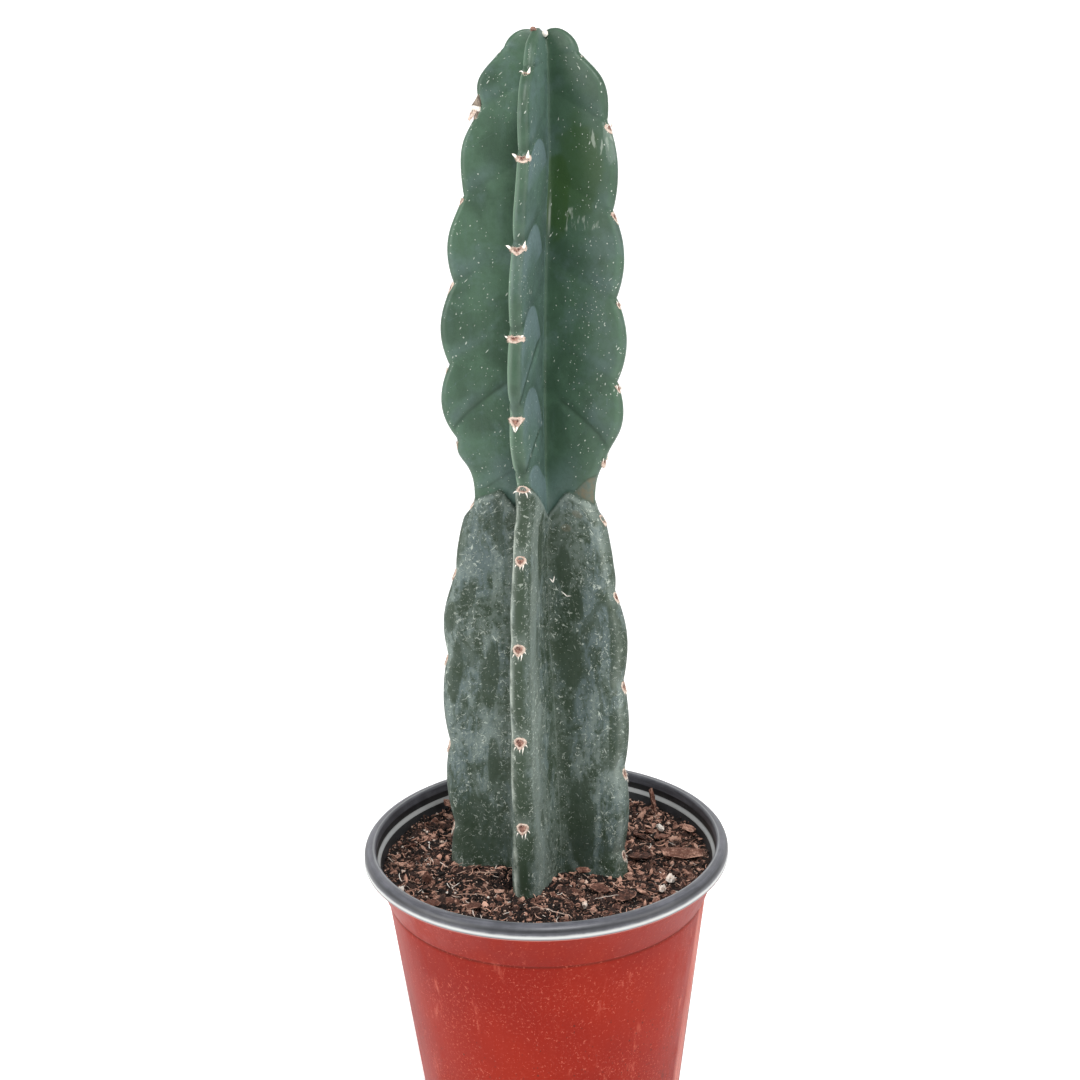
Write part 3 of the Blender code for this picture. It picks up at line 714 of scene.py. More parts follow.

    # Old growth: dusty and scratched, with darker windows where the wax has gone, painted shade towards the
    # grooves and painted highlights on the crest edges
    scuffed = tree.noise(spot, 260.0, 5.0, 0.7, 0.5, up=0.45)
    bluish = tree.fade(tree.noise(spot, 70.0, 5.0, 0.65, 0.5, up=0.6), 0.45, 0.58)
    bluish = bluish.math("MAXIMUM", patches(tree, rib, share, height, scuffed, WAX_PATCHES))
    dusty = tree.fade(streaked * 0.4 + scuffed * 0.3 + fine * 0.3 + (broad - 0.5) * 0.3, 0.46, 0.6)
    pale_band = front * tree.fade(across, 4 * MM, 7 * MM) * tree.fade(across, 24 * MM, 10 * MM)
    bare = patches(tree, rib, share, height, scuffed, BARE_PATCHES)
    window = tree.noise(spot, 85.0, 5.0, 0.6, 0.8, up=0.5)
    bare = bare.math("MAXIMUM", tree.fade(window, 0.57, 0.6) * 0.7)
    groove = tree.fade(share, 0.3, 0.02) * (1.0 - front * 0.4)
    stripe = bell(across - 0.2 * MM, 2.7 * MM) * (0.35 + front * 0.65)
    wax = bell(near + 4 * MM, 3.5 * MM) * bell(across, 4 * MM)
    # Painted highlight on the rounded left edge of each old crest, strongest on the front rib
    edge_sheen = bell(across + 4.0 * MM, 1.4 * MM) * (0.12 + front * 0.6)
    edge_sheen = edge_sheen * tree.fade(streaked * 0.5 + middle * 0.5, 0.36, 0.6)
    old = tree.coats(
        settings.old_green_and_shade,
        (tree.fade(middle * 0.5 + fine * 0.5, 0.42, 0.58), settings.old_grey),
        (bluish * tree.fade(scuffed, 0.36, 0.56) * 0.8, settings.old_blue),
        (dusty * (0.35 + bluish * 0.3), settings.dust),
        (pale_band * (0.25 + streaked * 0.6), settings.dust),
        (bare * (0.66 + fine * 0.3), settings.old_green_and_shade),
        # Painted shade towards the grooves
        (groove * 0.45, settings.old_green_and_shade),
        ((stripe * (0.75 + middle * 0.8)).math("MINIMUM", 1.0), settings.old_green_and_shade),
        (wax * 0.5, settings.dust),
        (edge_sheen, settings.speck),
        (tree.fade(grain * 0.5 + fine * 0.5, 0.44, 0.6) * 0.2, settings.old_green_and_shade))

    # Corky wedge over the joint on the right rib, and two tan spots under it
    over_wedge = lift - (share - 0.56) * 26 * MM
    on_wedge = right_rib * is_young
    wedge = tree.fade(over_wedge + (fine - 0.5) * 1.5 * MM, 0.4 * MM, -0.4 * MM) * on_wedge
    wedge_line = bell(over_wedge, 0.6 * MM) * on_wedge * tree.fade(share, 0.55, 0.65)
    tan = tree.fade(fine * 0.6 + streaked * 0.4, 0.4, 0.6)
    tan = tree.mix(tan, settings.wedge_brown, settings.old_grey)
    tan_spots = patch(tree, place, (0.62, 0.1405), (0.12, 0.0016), scuffed)
    tan_spots = tan_spots + patch(tree, place, (0.3, 0.1345), (0.1, 0.0016), scuffed)

    # Specks on both, bent scratches on the old growth
    worn = 1.0 - is_young
    crowd = tree.fade(tree.noise(spot, 50.0, 2.0), 0.42, 0.62)
    crowd = crowd.math("MAXIMUM", bell(near, 5 * MM) * tree.fade(share, 0.4, 0.8) * 0.8)
    outer_part = tree.fade(share, 0.12, 0.5) * 0.75 + 0.25
    dots = marks(tree, surface, 430.0, (0.04 + crowd * 0.22) * outer_part, 0.13)
    dots = dots + marks(tree, surface, 700.0, (0.03 + crowd * 0.2) * outer_part, 0.14) * 0.8
    dots = dots + marks(tree, surface, 520.0, 0.01 + crowd * 0.12, 0.14, -0.6, 3.0)
    dense = 0.6 - crowd * 0.08 + bare * 0.02
    scars = scratches(tree, surface, 250.0, 0.013, dense) + scratches(tree, surface, 420.0, 0.02, dense)
    lines = marks(tree, surface, 240.0, worn * 0.12, 0.06, 0.5, 6.0)
    lines = lines + marks(tree, surface, 260.0, worn * 0.1, 0.06, -0.8, 6.0)
    dust_dots = marks(tree, surface, 900.0, worn * 0.2, 0.2)
    mark = dots * (0.4 + is_young * 0.6) + (scars * worn + lines) * 0.7 + dust_dots * 0.5
    mark = mark.math("MINIMUM", 1.0) * (1.0 - (bare * 0.4).math("MAXIMUM", stripe * 0.45) * worn)
    pits = tree.fade(grain * 0.5 + fine * 0.5, 0.46, 0.36)

    colour = tree.coats(
        tree.mix(is_young, old, tree.mix(wedge * 0.9, young, tan)),
        (wedge_line * 0.6, settings.young_dark_and_shade),
        (tan_spots * right_rib * 0.4, settings.wedge_brown),
        # Painted shade along the growth joint, and just below it a pale painted highlight on the old
        # growth's rounded top
        (bell(lift, 0.7 * MM) * 0.55, settings.young_dark_and_shade),
        (bell(lift + 1.6 * MM, 1.0 * MM) * (0.3 + fine * 0.4), settings.dust),
        (mark * (0.72 + worn * 0.1), settings.speck),
        (pits * (0.15 + worn * 0.3), settings.young_dark_and_shade))
    roughness = 0.46 + bloom * 0.12 + worn * 0.14 + (fine - 0.5) * 0.2
    relief = fine * 0.2 + grain * 0.1 + mark * 0.4 + worn * (streaked + fine) * 0.35
    return paint(material, tree, colour, roughness, relief, 0.4 * MM, Specular_IOR_Level=0.4)


# Outlines of the areoles in millimetres, X to the right and Y up the rib, then their horns or rays:
# root, tip, half width at the root and how far the tip bends down the rib
AREOLE_KINDS = {
    "ring": (
        [(0, 2.3), (1.6, 2.0), (2.7, 0.8), (2.4, -0.7), (1.2, -2.0), (0.1, -2.8), (-1.1, -2.1),
         (-2.3, -0.8), (-2.7, 0.7), (-1.6, 2.0)],
        [((1.5, -1.5), (1.3, -4.3), 0.28, 0.4), ((-1.5, -1.6), (-2.1, -3.1), 0.22, 0.3),
         ((0.1, -2.3), (0.2, -3.9), 0.22, 0.2), ((2.2, -0.6), (3.2, -1.7), 0.2, 0.3)]),
    "junction": (
        [(0, 1.7), (1.5, 1.3), (2.5, 0.2), (2.7, -0.9), (1.3, -1.3), (0, -1.5), (-1.3, -1.3),
         (-2.7, -0.9), (-2.5, 0.2), (-1.5, 1.3)],
        [((-2.1, -0.7), (-3.7, -1.6), 0.25, 0.3), ((2.1, -0.5), (3.4, -1.5), 0.25, 0.3),
         ((1.1, -1.0), (2.0, -3.3), 0.28, 0.4), ((-1.0, -1.0), (-1.3, -2.5), 0.2, 0.3)]),
    "shield": (
        [(0, 1.9), (1.8, 2.1), (2.9, 1.5), (2.6, 0.0), (1.4, -1.8), (0.2, -3.3), (-1.0, -2.0),
         (-2.3, -0.4), (-2.9, 1.2), (-1.7, 2.0)],
        [((1.0, -1.5), (0.3, -3.9), 0.4, 0.2), ((-0.7, -1.6), (0.1, -3.8), 0.35, 0.2)]),
    "oval": (
        [(0, 1.1), (2.0, 1.5), (3.4, 1.2), (3.5, -0.3), (2.0, -1.7), (0, -2.3), (-2.0, -1.7),
         (-3.4, -0.5), (-3.2, 1.1), (-1.8, 1.5)],
        [((2.7, 0.5), (4.0, 1.2), 0.5, 0.0), ((-2.8, 0.3), (-3.8, 0.8), 0.4, 0.0)]),
    "boat": (
        [(0, 0.6), (1.6, 1.1), (2.6, 1.6), (2.7, -0.2), (1.5, -1.7), (0, -2.0), (-1.5, -1.4), (-2.5, 0.0),
         (-2.9, 1.1), (-1.4, 0.9)],
        [((2.0, -0.3), (2.5, 2.5), 0.75, -0.5), ((-1.9, 0.1), (-3.5, 1.2), 0.55, 0.2)]),
    "wings": (
        [(0, 0.7), (1.5, 1.2), (2.7, 1.9), (2.8, 0.4), (1.6, -1.4), (0, -2.6), (-1.3, -1.6), (-2.6, -0.2),
         (-3.1, 1.0), (-1.5, 1.0)],
        [((2.2, 0.2), (3.1, 2.8), 0.6, -0.4), ((-2.2, 0.2), (-3.8, 1.1), 0.55, 0.2)]),
    "hooks": (
        [(0, 0.5), (1.1, 0.9), (1.8, 0.9), (1.6, -0.6), (0.9, -1.6), (-0.1, -2.0), (-1.0, -1.4),
         (-1.7, -0.4), (-1.9, 0.7), (-0.9, 0.7)],
        [((1.2, -0.4), (2.0, 3.1), 0.8, -0.6), ((-1.0, 0.2), (-3.1, -0.2), 0.45, 0.9)]),
    "bud": (
        [(0, 1.2), (1.3, 1.0), (2.0, 0), (1.3, -1.0), (0, -1.3), (-1.3, -1.0), (-2.0, 0), (-1.3, 1.0)], []),
}
OLD_KINDS = ("ring", "junction")
YOUNG_KINDS = ("hooks", "shield", "oval", "wings", "boat", "bud")
BUD = float(len(OLD_KINDS + YOUNG_KINDS) - 1)
JOINT_NUMBER = 5.0


def areole_points(tree):
    """A point on the crest for each areole above the mix, with its outward direction and its kind."""
    line = tree.node("GeometryNodeMeshLine", {"mode": "OFFSET"}, {"Count": RIBS * len(AREOLES)})
    index = tree.node("GeometryNodeInputIndex")
    number = tree.math("FLOOR", (index + 0.5) / RIBS)
    rib = index - number * RIBS
    old_count = number - rib_shift(tree, rib, 0.0)
    young = areole_height(tree, old_count.math("MAXIMUM", 0.0)) > GROWTH_JOINT
    count = (number - rib_shift(tree, rib, young)).math("MAXIMUM", 0.0)
    height = areole_height(tree, count)
    phase = 1.0 - (NOTCH_RISE - AREOLE_LIFT) / SPACING
    low = height + AREOLE_LIFT
    radius = crest_radius(tree, low, phase) - AREOLE_SINK
    at_joint = tree.math("COMPARE", number, JOINT_NUMBER, 0.5) * (rib < 0.5)
    turn, shapes = number + rib * 2.0, BUD - len(OLD_KINDS)
    young_kind = turn - tree.math("FLOOR", (turn + 0.5) / shapes) * shapes + float(len(OLD_KINDS))
    kind = at_joint + (young_kind - at_joint) * young * (1.0 - at_joint)
    at_tip = height > TIP_AREOLE
    kind = kind + (BUD - kind) * at_tip
    low = low + at_tip * BUD_RISE
    radius = radius - at_tip * BUD_INSET
    slope_step = 6 * MM
    lower = tree.table(height - slope_step, CREST)
    upper = tree.table(height + slope_step, CREST)
    slope = (lower - upper) / (2 * slope_step) + 0.3
    sine, cosine = rib_frame(tree, rib)
    lean = tree.table(low, FRONT_LEAN) * (rib < 0.5)
    x = tree.table(height, CENTRE_X) + radius * sine - lean * cosine
    y = CENTRE_Y - radius * cosine - lean * sine
    placed = tree.node(
        "GeometryNodeSetPosition", (), {"Geometry": line, "Position": tree.vector(x, y, low + POT_TOP)})
    cloud = tree.node("GeometryNodeMeshToPoints", (), {"Mesh": placed, "Radius": 0.001})
    outward = tree.vector(sine, cosine * -1.0, slope.math("MAXIMUM", 0.0).math("MINIMUM", 1.6))
    cloud = tree.store(cloud, "outward", outward)
    cloud = tree.store(cloud, "facts", tree.vector(height, kind, rib))
    height_now, _, _ = tree.apart(tree.stored("facts"))
    return tree.node(
        "GeometryNodeDeleteGeometry", {"domain": "POINT"},
        {"Geometry": cloud, "Selection": height_now < -8 * MM})


def smooth_loop(points, steps):
    """More points along a closed outline, on smooth curves through the given ones."""
    found = []
    count = len(points)
    for place in range(count):
        a, b, c, d = (Vector(points[(place + k) % count]) for k in (-1, 0, 1, 2))
        for step in range(steps):
            t = step / steps
            found.append(0.5 * (2 * b + (c - a) * t + (2 * a - 5 * b + 4 * c - d) * t * t
                                + (3 * b - a - 3 * c + d) * t ** 3))
    return found


def areole_mesh(kind, rng):
    """One areole lying in XY with +Z outwards and +Y up the rib: a felt cushion with its horns or rays."""
    outline, needles = AREOLE_KINDS[kind]
    old = kind in OLD_KINDS
    made = bmesh.new()
    tint = made.verts.layers.float.new("Felt")
    loop = smooth_loop(outline, 3)
    rings = 7
    rows = []
    for ring in range(rings + 1):
        share = ring / rings
        row = []
        for point in loop:
            reach = share * (1 + rng.uniform(-0.05, 0.05))
            rim = math.exp(-((share - 0.74) / 0.17) ** 2) * (0.8 if old else 0.45)
            heart = (0.3 if old else 0.6) * math.exp(-(share / 0.5) ** 2)
            skirt = -9.0 * max(share - 0.86, 0)
            drape = 0.13 * (point.x * share) ** 2
            rise = rim + heart + skirt - drape + rng.uniform(-0.07, 0.07)
            vert = made.verts.new((point.x * MM * reach, point.y * MM * reach, rise * MM))
            vert[tint] = {"bud": 0.3}.get(kind, share if old else 0.3 + share * 0.6)
            row.append(vert)
        rows.append(row)
    for inner, outer in zip(rows, rows[1:]):
        for side in range(len(loop)):
            after = (side + 1) % len(loop)
            made.faces.new((inner[side], outer[side], outer[after], inner[after]))
    bmesh.ops.remove_doubles(made, verts=rows[0], dist=0.1 * MM)
    for root, tip, width, bend in needles:
        add_needle(made, tint, Vector((*root, 0.3)) * MM, Vector((*tip, 0.5 if old else 1.3)) * MM,
                   width * MM, bend * MM)
    return finished(made, f"areole_{kind}", smooth=True)


def add_needle(made, tint, root, tip, width, bend):
    """A tapering horn or ray, flatter than wide, whose tip bends down."""
    aim = (tip - root).normalized()
    across = aim.cross(Vector((0, 0, 1))).normalized()
    over = across.cross(aim)
    sides, steps = 7, 6
    rows = []
    for step in range(steps):
        share = step / steps
        middle = root.lerp(tip, share) + Vector((0, bend * math.sin(math.pi * share), 0.25 * width))
        half = width * (1 - share) ** 0.7 * (0.8 + 0.5 * math.sin(math.pi * share))
        row = []
        for side in range(sides):
            angle = math.tau * side / sides
            vert = made.verts.new(
                middle + across * math.cos(angle) * half + over * math.sin(angle) * half * 0.6)
            vert[tint] = 1.1 + share
            row.append(vert)
        rows.append(row)
    ends = [made.verts.new(root - aim * width * 0.5), made.verts.new(tip)]
    for end, value in zip(ends, (1.1, 2.0)):
        end[tint] = value
    bridge(made, rows)
    for side in range(sides):
        after = (side + 1) % sides
        made.faces.new((rows[-1][side], rows[-1][after], ends[1]))
        made.faces.new((rows[0][after], rows[0][side], ends[0]))


def fibre_mesh():
    """One hair of felt: a thin three-sided spike along +Z, a millimetre long."""
    made = bmesh.new()
    tint = made.verts.layers.float.new("Felt")
    ring = []
    for side in range(3):
        angle = math.tau * side / 3
        ring.append(made.verts.new((0.06 * MM * math.cos(angle), 0.06 * MM * math.sin(angle), 0)))
    bent = [made.verts.new(v.co * 0.6 + Vector((0.12 * MM, 0, 0.6 * MM))) for v in ring]
    tip = made.verts.new((0.4 * MM, 0, 1.1 * MM))
    for side in range(3):
        after = (side + 1) % 3
        made.faces.new((ring[side], ring[after], bent[after], bent[side]))
        made.faces.new((bent[side], bent[after], tip))
    made.faces.new(reversed(ring))
    for vert in made.verts:
        vert[tint] = 1.1
    return finished(made, "felt_hair", outwards=False)


def areole_tree(material, sources):
    """Felt, horns and rays on every areole of the stem, with a fuzz of short hairs."""
    inputs = {"Hair density": 3.2e6, "Hair size": 0.7, "Smallest": 0.9, "Largest": 1.08, "Seed": 4,
              "Tip size": 0.55, "Tip height": 285 * MM}
    tree, entry = geometry_tree("Areoles", inputs)
    points = areole_points(tree)
    height, kind, rib = tree.apart(tree.stored("facts"))
    stand = tree.node(
        "FunctionNodeAlignEulerToVector", {"axis": "Z", "pivot_axis": "AUTO"},
        {"Vector": tree.stored("outward")})
    up = tree.node(
        "FunctionNodeAlignEulerToVector", {"axis": "Y", "pivot_axis": "Z"},
        {"Rotation": stand, "Vector": (0.0, 0.0, 1.0)})
    varied = tree.random(entry["Smallest"], entry["Largest"], entry["Seed"])
    size = varied * (1.0 - (1.0 - entry["Tip size"]) * tree.fade(height, entry["Tip height"], STEM_TIP))
    on_side = rib > 0.5
    slim = size * (1.0 - 0.4 * on_side)
    shape = tree.vector(slim, size * (1.0 + 0.12 * on_side), slim)
    parts = []
    for number, source in enumerate(sources[:-1]):
        chosen = tree.node(
            "GeometryNodeSeparateGeometry", {"domain": "POINT"},
            {"Geometry": points, "Selection": tree.math("COMPARE", kind, float(number), 0.5)})
        parts.append(tree.place(chosen, tree.source(source), up, shape))
    joined = tree.node("GeometryNodeJoinGeometry", (), [parts])
    pads = tree.node("GeometryNodeRealizeInstances", (), {"Geometry": joined})
    felt = tree.stored("Felt", "FLOAT")
    roots = tree.scatter(pads, (felt > 0.25) * (felt < 0.92), entry["Hair density"], entry["Seed"])
    lean = tree.random_turn(0.9, 3.1, entry["Seed"] + 1.0)
    turned = tree.turned(tree.sibling(roots, "Rotation"), lean)
    fuzz = tree.place(roots, tree.source(sources[-1]), turned, varied * entry["Hair size"])
    return finish_tree(tree, tree.node("GeometryNodeJoinGeometry", (), [[fuzz, pads]]), material)


def felt_material(settings):
    """Cream felt round a brown middle, with paler horny spines."""
    material, tree, spot = new_material("areole_felt")
    felt = attribute(tree, "Felt", "Fac")
    mottle = tree.noise(spot, 900.0, 3.0)
    ring = tree.fade(felt + (mottle - 0.5) * 0.35, 0.45, 0.72)
    colour = tree.coats(
        settings.felt_dark,
        (tree.fade(mottle, 0.4, 0.65), settings.felt_middle),
        (ring, settings.felt_rim),
        (tree.fade(mottle, 0.5, 0.62) * 0.65, settings.felt_middle),
        (tree.fade(felt, 1.05, 1.5), settings.spine))
    return paint(material, tree, colour, 0.85, mottle, 0.3 * MM, Specular_IOR_Level=0.2)


# Husks: middle, half width across and half depth at each height, in millimetres from the rim's middle
HUSKS = [
    [((-15.2, 2.4, 300), 0.3, 0.3), ((-16.4, 2.4, 297.5), 1.1, 0.8), ((-17.6, 2.4, 294.6), 1.8, 1.2),
     ((-18.0, 2.4, 293.6), 1.9, 1.3), ((-18.0, 2.4, 292.8), 1.9, 1.3), ((-17.7, 2.4, 291), 1.5, 1.3),
     ((-17.8, 2.4, 288), 1.4, 1.3), ((-18.0, 2.4, 286), 0.9, 0.9)],
    [((27.3, -7.6, 290), 0.3, 0.6), ((28.0, -7.8, 287.5), 0.9, 1.2), ((28.8, -8.0, 284.5), 0.9, 1.5),
     ((29.4, -8.2, 281.5), 0.7, 1.2), ((29.6, -8.2, 280), 0.3, 0.5)],
]
WOOL = [
    ((7.8, 1.4, 317.6), 0.5, 0.5), ((7.9, 1.4, 318.4), 1.3, 0.9), ((8.0, 1.4, 319.1), 1.1, 0.8),
    ((8.1, 1.4, 319.6), 0.3, 0.3)]
WHITE_BAR = 293.2
STRAY_SPINES = [
    ((-35.6, 0.2, 88.6), (-30.6, -0.3, 88.9), 0.28), ((-35.5, 0.0, 89.6), (-34.8, 0.3, 88.3), 0.25),
    ((5.6, -13.6, 114.6), (4.2, -15.6, 117.0), 0.3), ((5.6, -13.6, 114.6), (6.3, -12.6, 117.0), 0.25),
    ((10.9, -9.3, 107.4), (8.9, -8.6, 109.3), 0.25), ((10.9, -9.3, 107.4), (12.9, -10.6, 107.8), 0.28),
]


def husks_mesh():
    """Dry flakes that taper at both ends, and thin dead spines."""
    made = bmesh.new()
    tint = made.verts.layers.float.new("Felt")
    base, sides = Vector((0, 0, POT_TOP)), 12
    for sections in (*HUSKS, WOOL):
        rows = []
        for place, half_x, half_y in sections:
            white = abs(place[2] - WHITE_BAR) < 0.5 or sections is WOOL
            row = []
            for side in range(sides):
                angle = math.tau * side / sides
                ripple = 1 + 0.12 * math.sin(3 * angle + place[2])
                out = Vector((half_x * ripple * math.cos(angle), half_y * ripple * math.sin(angle),
                              0.3 * math.sin(2 * angle)))
                row.append(made.verts.new(base + MM * (Vector(place) + out)))
                row[-1][tint] = 1.0 if white else 0.0
            rows.append(row)
        bridge(made, rows)
        made.faces.new(rows[0])
        made.faces.new(rows[-1])
    for root, tip, width in STRAY_SPINES:
        add_needle(made, tint, Vector(root) * MM + base, Vector(tip) * MM + base, width * MM, 0.0)
    return finished(made, "stem_husks", smooth=True)


def husk_material(settings):
    """Papery brown, streaked along its length, with a white bar."""
    material, tree, spot = new_material("dry_husk")
    felt = attribute(tree, "Felt", "Fac")
    streaks = tree.noise(spot, 1400.0, 3.0, up=0.25)
    colour = tree.mix(tree.fade(streaks, 0.35, 0.65), settings.husk_dark, settings.husk)
    colour = tree.mix(tree.fade(felt, 0.5, 0.9), colour, settings.spine)
    return paint(material, tree, colour, 0.8, streaks, 0.3 * MM, Specular_IOR_Level=0.25)


# Pot

def pot_profile():
    """The pot's section from under its floor, up the outside, over the lip and down the inside.

    Each entry is a radius, a height and the finish of the face that follows: 0 outside, 1 lip, 2 inside.
    """
    top = POT_TOP
    collar_foot, lip_foot, ledge = top - 22 * MM, top - 5.8 * MM, top - 7.6 * MM
    wall_top, taper, wall = 66.8 * MM, 0.1233, 1.3 * MM
    collar_top, mouth, skirt = 72.6 * MM, 71.0 * MM, RIM_RADIUS - 1.3 * MM
    edge_round, foot_round = 0.55 * MM, 1.4 * MM
    foot_inner, floor_rise = 43 * MM, 2.5 * MM

    def outer(height):
        """The wall's outer radius at a height."""
        return wall_top - taper * (collar_foot - height)

    def run(radius, height, finish, *steps):
        """Corners by their way from one point, in millimetres."""
        return [(radius + out * MM, height + up * MM, finish) for out, up in steps]

    profile = [(0, floor_rise, 0), (foot_inner - 2 * MM, floor_rise, 0)]
    profile += arc_points(foot_inner - 1.0 * MM, 0.6 * MM, 0.6 * MM, 180, 270, 0)
    profile += arc_points(outer(0) - foot_round, foot_round, foot_round, 270, 350, 0)
    profile += [(outer(h * MM), h * MM, 0) for h in range(8, 117, 6)]
    profile += run(wall_top, collar_foot, 0, (-0.15, -1.2), (-0.3, -0.2), (0.1, 0.5), (0.6, 1.3))
    profile += run(collar_top, lip_foot, 0, (-0.6, -3), (0.3, -1.7), (1.2, -0.8), (1.6, 0))
    profile += run(collar_top, top, 1, (1.5, -3.2)) + run(skirt, top, 1, (-0.3, -3), (0, -3.6))
    profile += run(skirt, lip_foot, 1, (0, 0.55))
    turn = RIM_RADIUS - edge_round - 0.05 * MM
    profile += arc_points(turn, lip_foot + edge_round, edge_round, 200, 360, 1)
    profile += run(RIM_RADIUS, top, 1, (-0.2, -4.2), (-0.2, -3), (-0.4, -2.2), (-0.7, -1.5), (-1.3, -0.8))
    profile += run(RIM_RADIUS, top, 1, (-2.1, -0.3), (-3, -0.1))
    profile += run(mouth, top, 1, (1.2, -0.1), (0.6, -0.25), (0.2, -0.6), (0, -1.3))
    profile += run(mouth, top, 2, (-0.1, -4)) + run(mouth, ledge, 1, (-0.3, 0.9), (-0.6, 0.3), (-1.2, 0))
    profile += run(mouth, ledge, 2, (-1.6, -0.7)) + run(wall_top - wall, collar_foot, 2, (0.2, 0.5))
    profile += [(outer(h * MM) - wall, h * MM, 2) for h in (112, 60, 1.3)]
    profile += [(foot_inner + wall, wall, 2), (foot_inner + wall - 2 * MM, floor_rise + wall, 2)]
    return profile + [(0, floor_rise + wall, 2)]


def arc_points(radius, height, bend, start, end, finish):
    """Points of a round edge about a middle, by angles in degrees."""
    angles = [math.radians(start + (end - start) * step / 4) for step in range(5)]
    return [(radius + bend * math.cos(angle), height + bend * math.sin(angle), finish) for angle in angles]


def turned_mesh(name, profile, sides):
    """Turns a section that starts and ends on the axis about Z, with each face's finish."""
    made = bmesh.new()
    angles = [math.tau * side / sides for side in range(sides)]
    rows = []
    for radius, height, _ in profile:
        if radius == 0:
            rows.append([made.verts.new((0, 0, height))] * sides)
            continue
        rows.append([made.verts.new((radius * math.cos(a), radius * math.sin(a), height)) for a in angles])
    for (lower, upper), (_, _, finish) in zip(zip(rows, rows[1:]), profile):
        for side in range(sides):
            after = (side + 1) % sides
            corners = [lower[side], lower[after], upper[after], upper[side]]
            corners = [c for place, c in enumerate(corners) if c not in corners[:place]]
            face = made.faces.new(corners)
            face.material_index = finish
            face.smooth = True
    return finished(made, name)


def drain_holes(pot, count=6, circle=32 * MM, radius=5 * MM, height=8 * MM):
    """Cuts a circle of drain holes in the pot's floor."""
    holes = bpy.data.collections.new("drills")
    section = [(0, -MM, 0), (radius, -MM, 0), (radius, height, 0), (0, height, 0)]
    for hole in range(count):
        angle = math.tau * (hole + 0.5) / count
        mesh = turned_mesh("drill", section, 24)
        mesh.transform(Matrix.Translation((circle * math.cos(angle), circle * math.sin(angle), 0)))
        holes.objects.link(bpy.data.objects.new("drill", mesh))
    bpy.context.scene.collection.children.link(holes)
    cut = pot.modifiers.new("Drain holes", "BOOLEAN")
    cut.operation, cut.operand_type, cut.solver = "DIFFERENCE", "COLLECTION", "EXACT"
    cut.collection = holes
    settle(pot)
    for drill in list(holes.objects):
        bpy.data.objects.remove(drill)
    bpy.data.collections.remove(holes)


def pot_outside(settings):
    """Terracotta-red sheet with flecks and scuffs, a painted highlight stripe on the right, painted shade
    lines beside it and under the collar, and dirt low down.
    """
    material, tree, spot = new_material("pot_outside")
    x, y, z = tree.apart(spot)
    drop = POT_TOP - z
    around = tree.math("ARCTAN2", x, y * -1.0)
    wrapped = tree.vector(around * (70 * MM), z, 0.0)
    broad = tree.noise(spot, 18.0, 3.0)
    film = tree.noise(spot, 55.0, 5.0, 0.65, up=0.5)
    fine = tree.noise(spot, 900.0, 3.0, 0.6)
    pulled = tree.noise(spot, 420.0, 2.0, up=0.02)
    below = tree.fade(drop, 8 * MM, 12 * MM)
    ribbed = tree.noise(tree.stretch(wrapped, 1.0, 0.03, 1.0), 700.0, 2.0)
    drift = around + drop * 0.9
    # Painted highlight: a pale stripe down the right side of the pot, standing in for a reflection
    sheen = tree.fade(drift, 1.16, 1.22) * tree.fade(drift, 1.42, 1.34) * below
    sheen = sheen * (0.35 + tree.fade(ribbed, 0.35, 0.6) * 0.65)
    # Painted shade: a dark line beside the highlight stripe and another under the collar
    shade_lines = (bell(drift - 1.44, 0.03) + bell(drop - 22.3 * MM, 0.5 * MM) * 0.8) * below
    crowd = tree.fade(tree.noise(spot, 40.0, 2.0), 0.42, 0.6)
    flecks = marks(tree, wrapped, 480.0, 0.03 + crowd * 0.16, 0.14)
    flecks = flecks + marks(tree, wrapped, 260.0, 0.02 + crowd * 0.06, 0.08, 0.7, 4.0)
    flecks = flecks + scratches(tree, wrapped, 560.0, 0.02, 0.6 - crowd * 0.07) * 0.9
    flecks = flecks + marks(tree, wrapped, 210.0, crowd * 0.25, 0.035, 1.1, 5.0) * 0.7
    scuffs = tree.fade(tree.noise(spot, 90.0, 6.0, 0.75, up=0.3), 0.58, 0.68) * crowd
    low = tree.fade(drop, 40 * MM, 75 * MM)
    on_right = tree.fade(x, 5 * MM, 35 * MM) * low * 0.2
    grime = tree.fade(around, 1.24, 1.34) * tree.fade(around, 2.4, 1.9)
    grime = grime * tree.fade(drop, 45 * MM, 58 * MM) * tree.fade(drop, 98 * MM, 82 * MM)
    muck = tree.fade(around, 0.45, 0.7) * tree.fade(around, 1.1, 0.85) * tree.fade(drop, 82 * MM, 100 * MM)
    lumps = tree.noise(spot, 260.0, 4.0, 0.7)
    dirt = marks(tree, wrapped, 300.0, low * 0.05 + on_right, 0.16)
    dirt = dirt + marks(tree, wrapped, 600.0, low * 0.08 + on_right, 0.2)
    dirt = dirt + grime * tree.fade(lumps, 0.45, 0.52) + muck * tree.fade(lumps, 0.54, 0.58)
    colour = tree.coats(
        settings.pot_red,
        (tree.fade(broad, 0.35, 0.7), settings.pot_dark),
        (tree.fade(film, 0.55, 0.8) * 0.1, settings.pot_dust),
        (sheen * 0.8, settings.pot_sheen),
        (shade_lines * 0.5, settings.dirt_and_shade),
        (tree.fade(fine, 0.55, 0.75) * 0.12, settings.pot_dust),
        ((flecks + scuffs * 0.6).math("MINIMUM", 1.0) * 0.7, settings.pot_dust),
        (dirt.math("MINIMUM", 1.0) * 0.7, settings.dirt_and_shade))
    roughness = 0.42 + tree.fade(film, 0.45, 0.75) * 0.2 + flecks * 0.15
    relief = fine * 0.15 + film * 0.3 + pulled * 0.25 + flecks * 0.2 + scuffs * 0.2
    return paint(material, tree, colour, roughness, relief, 0.25 * MM, Specular_IOR_Level=0.1)


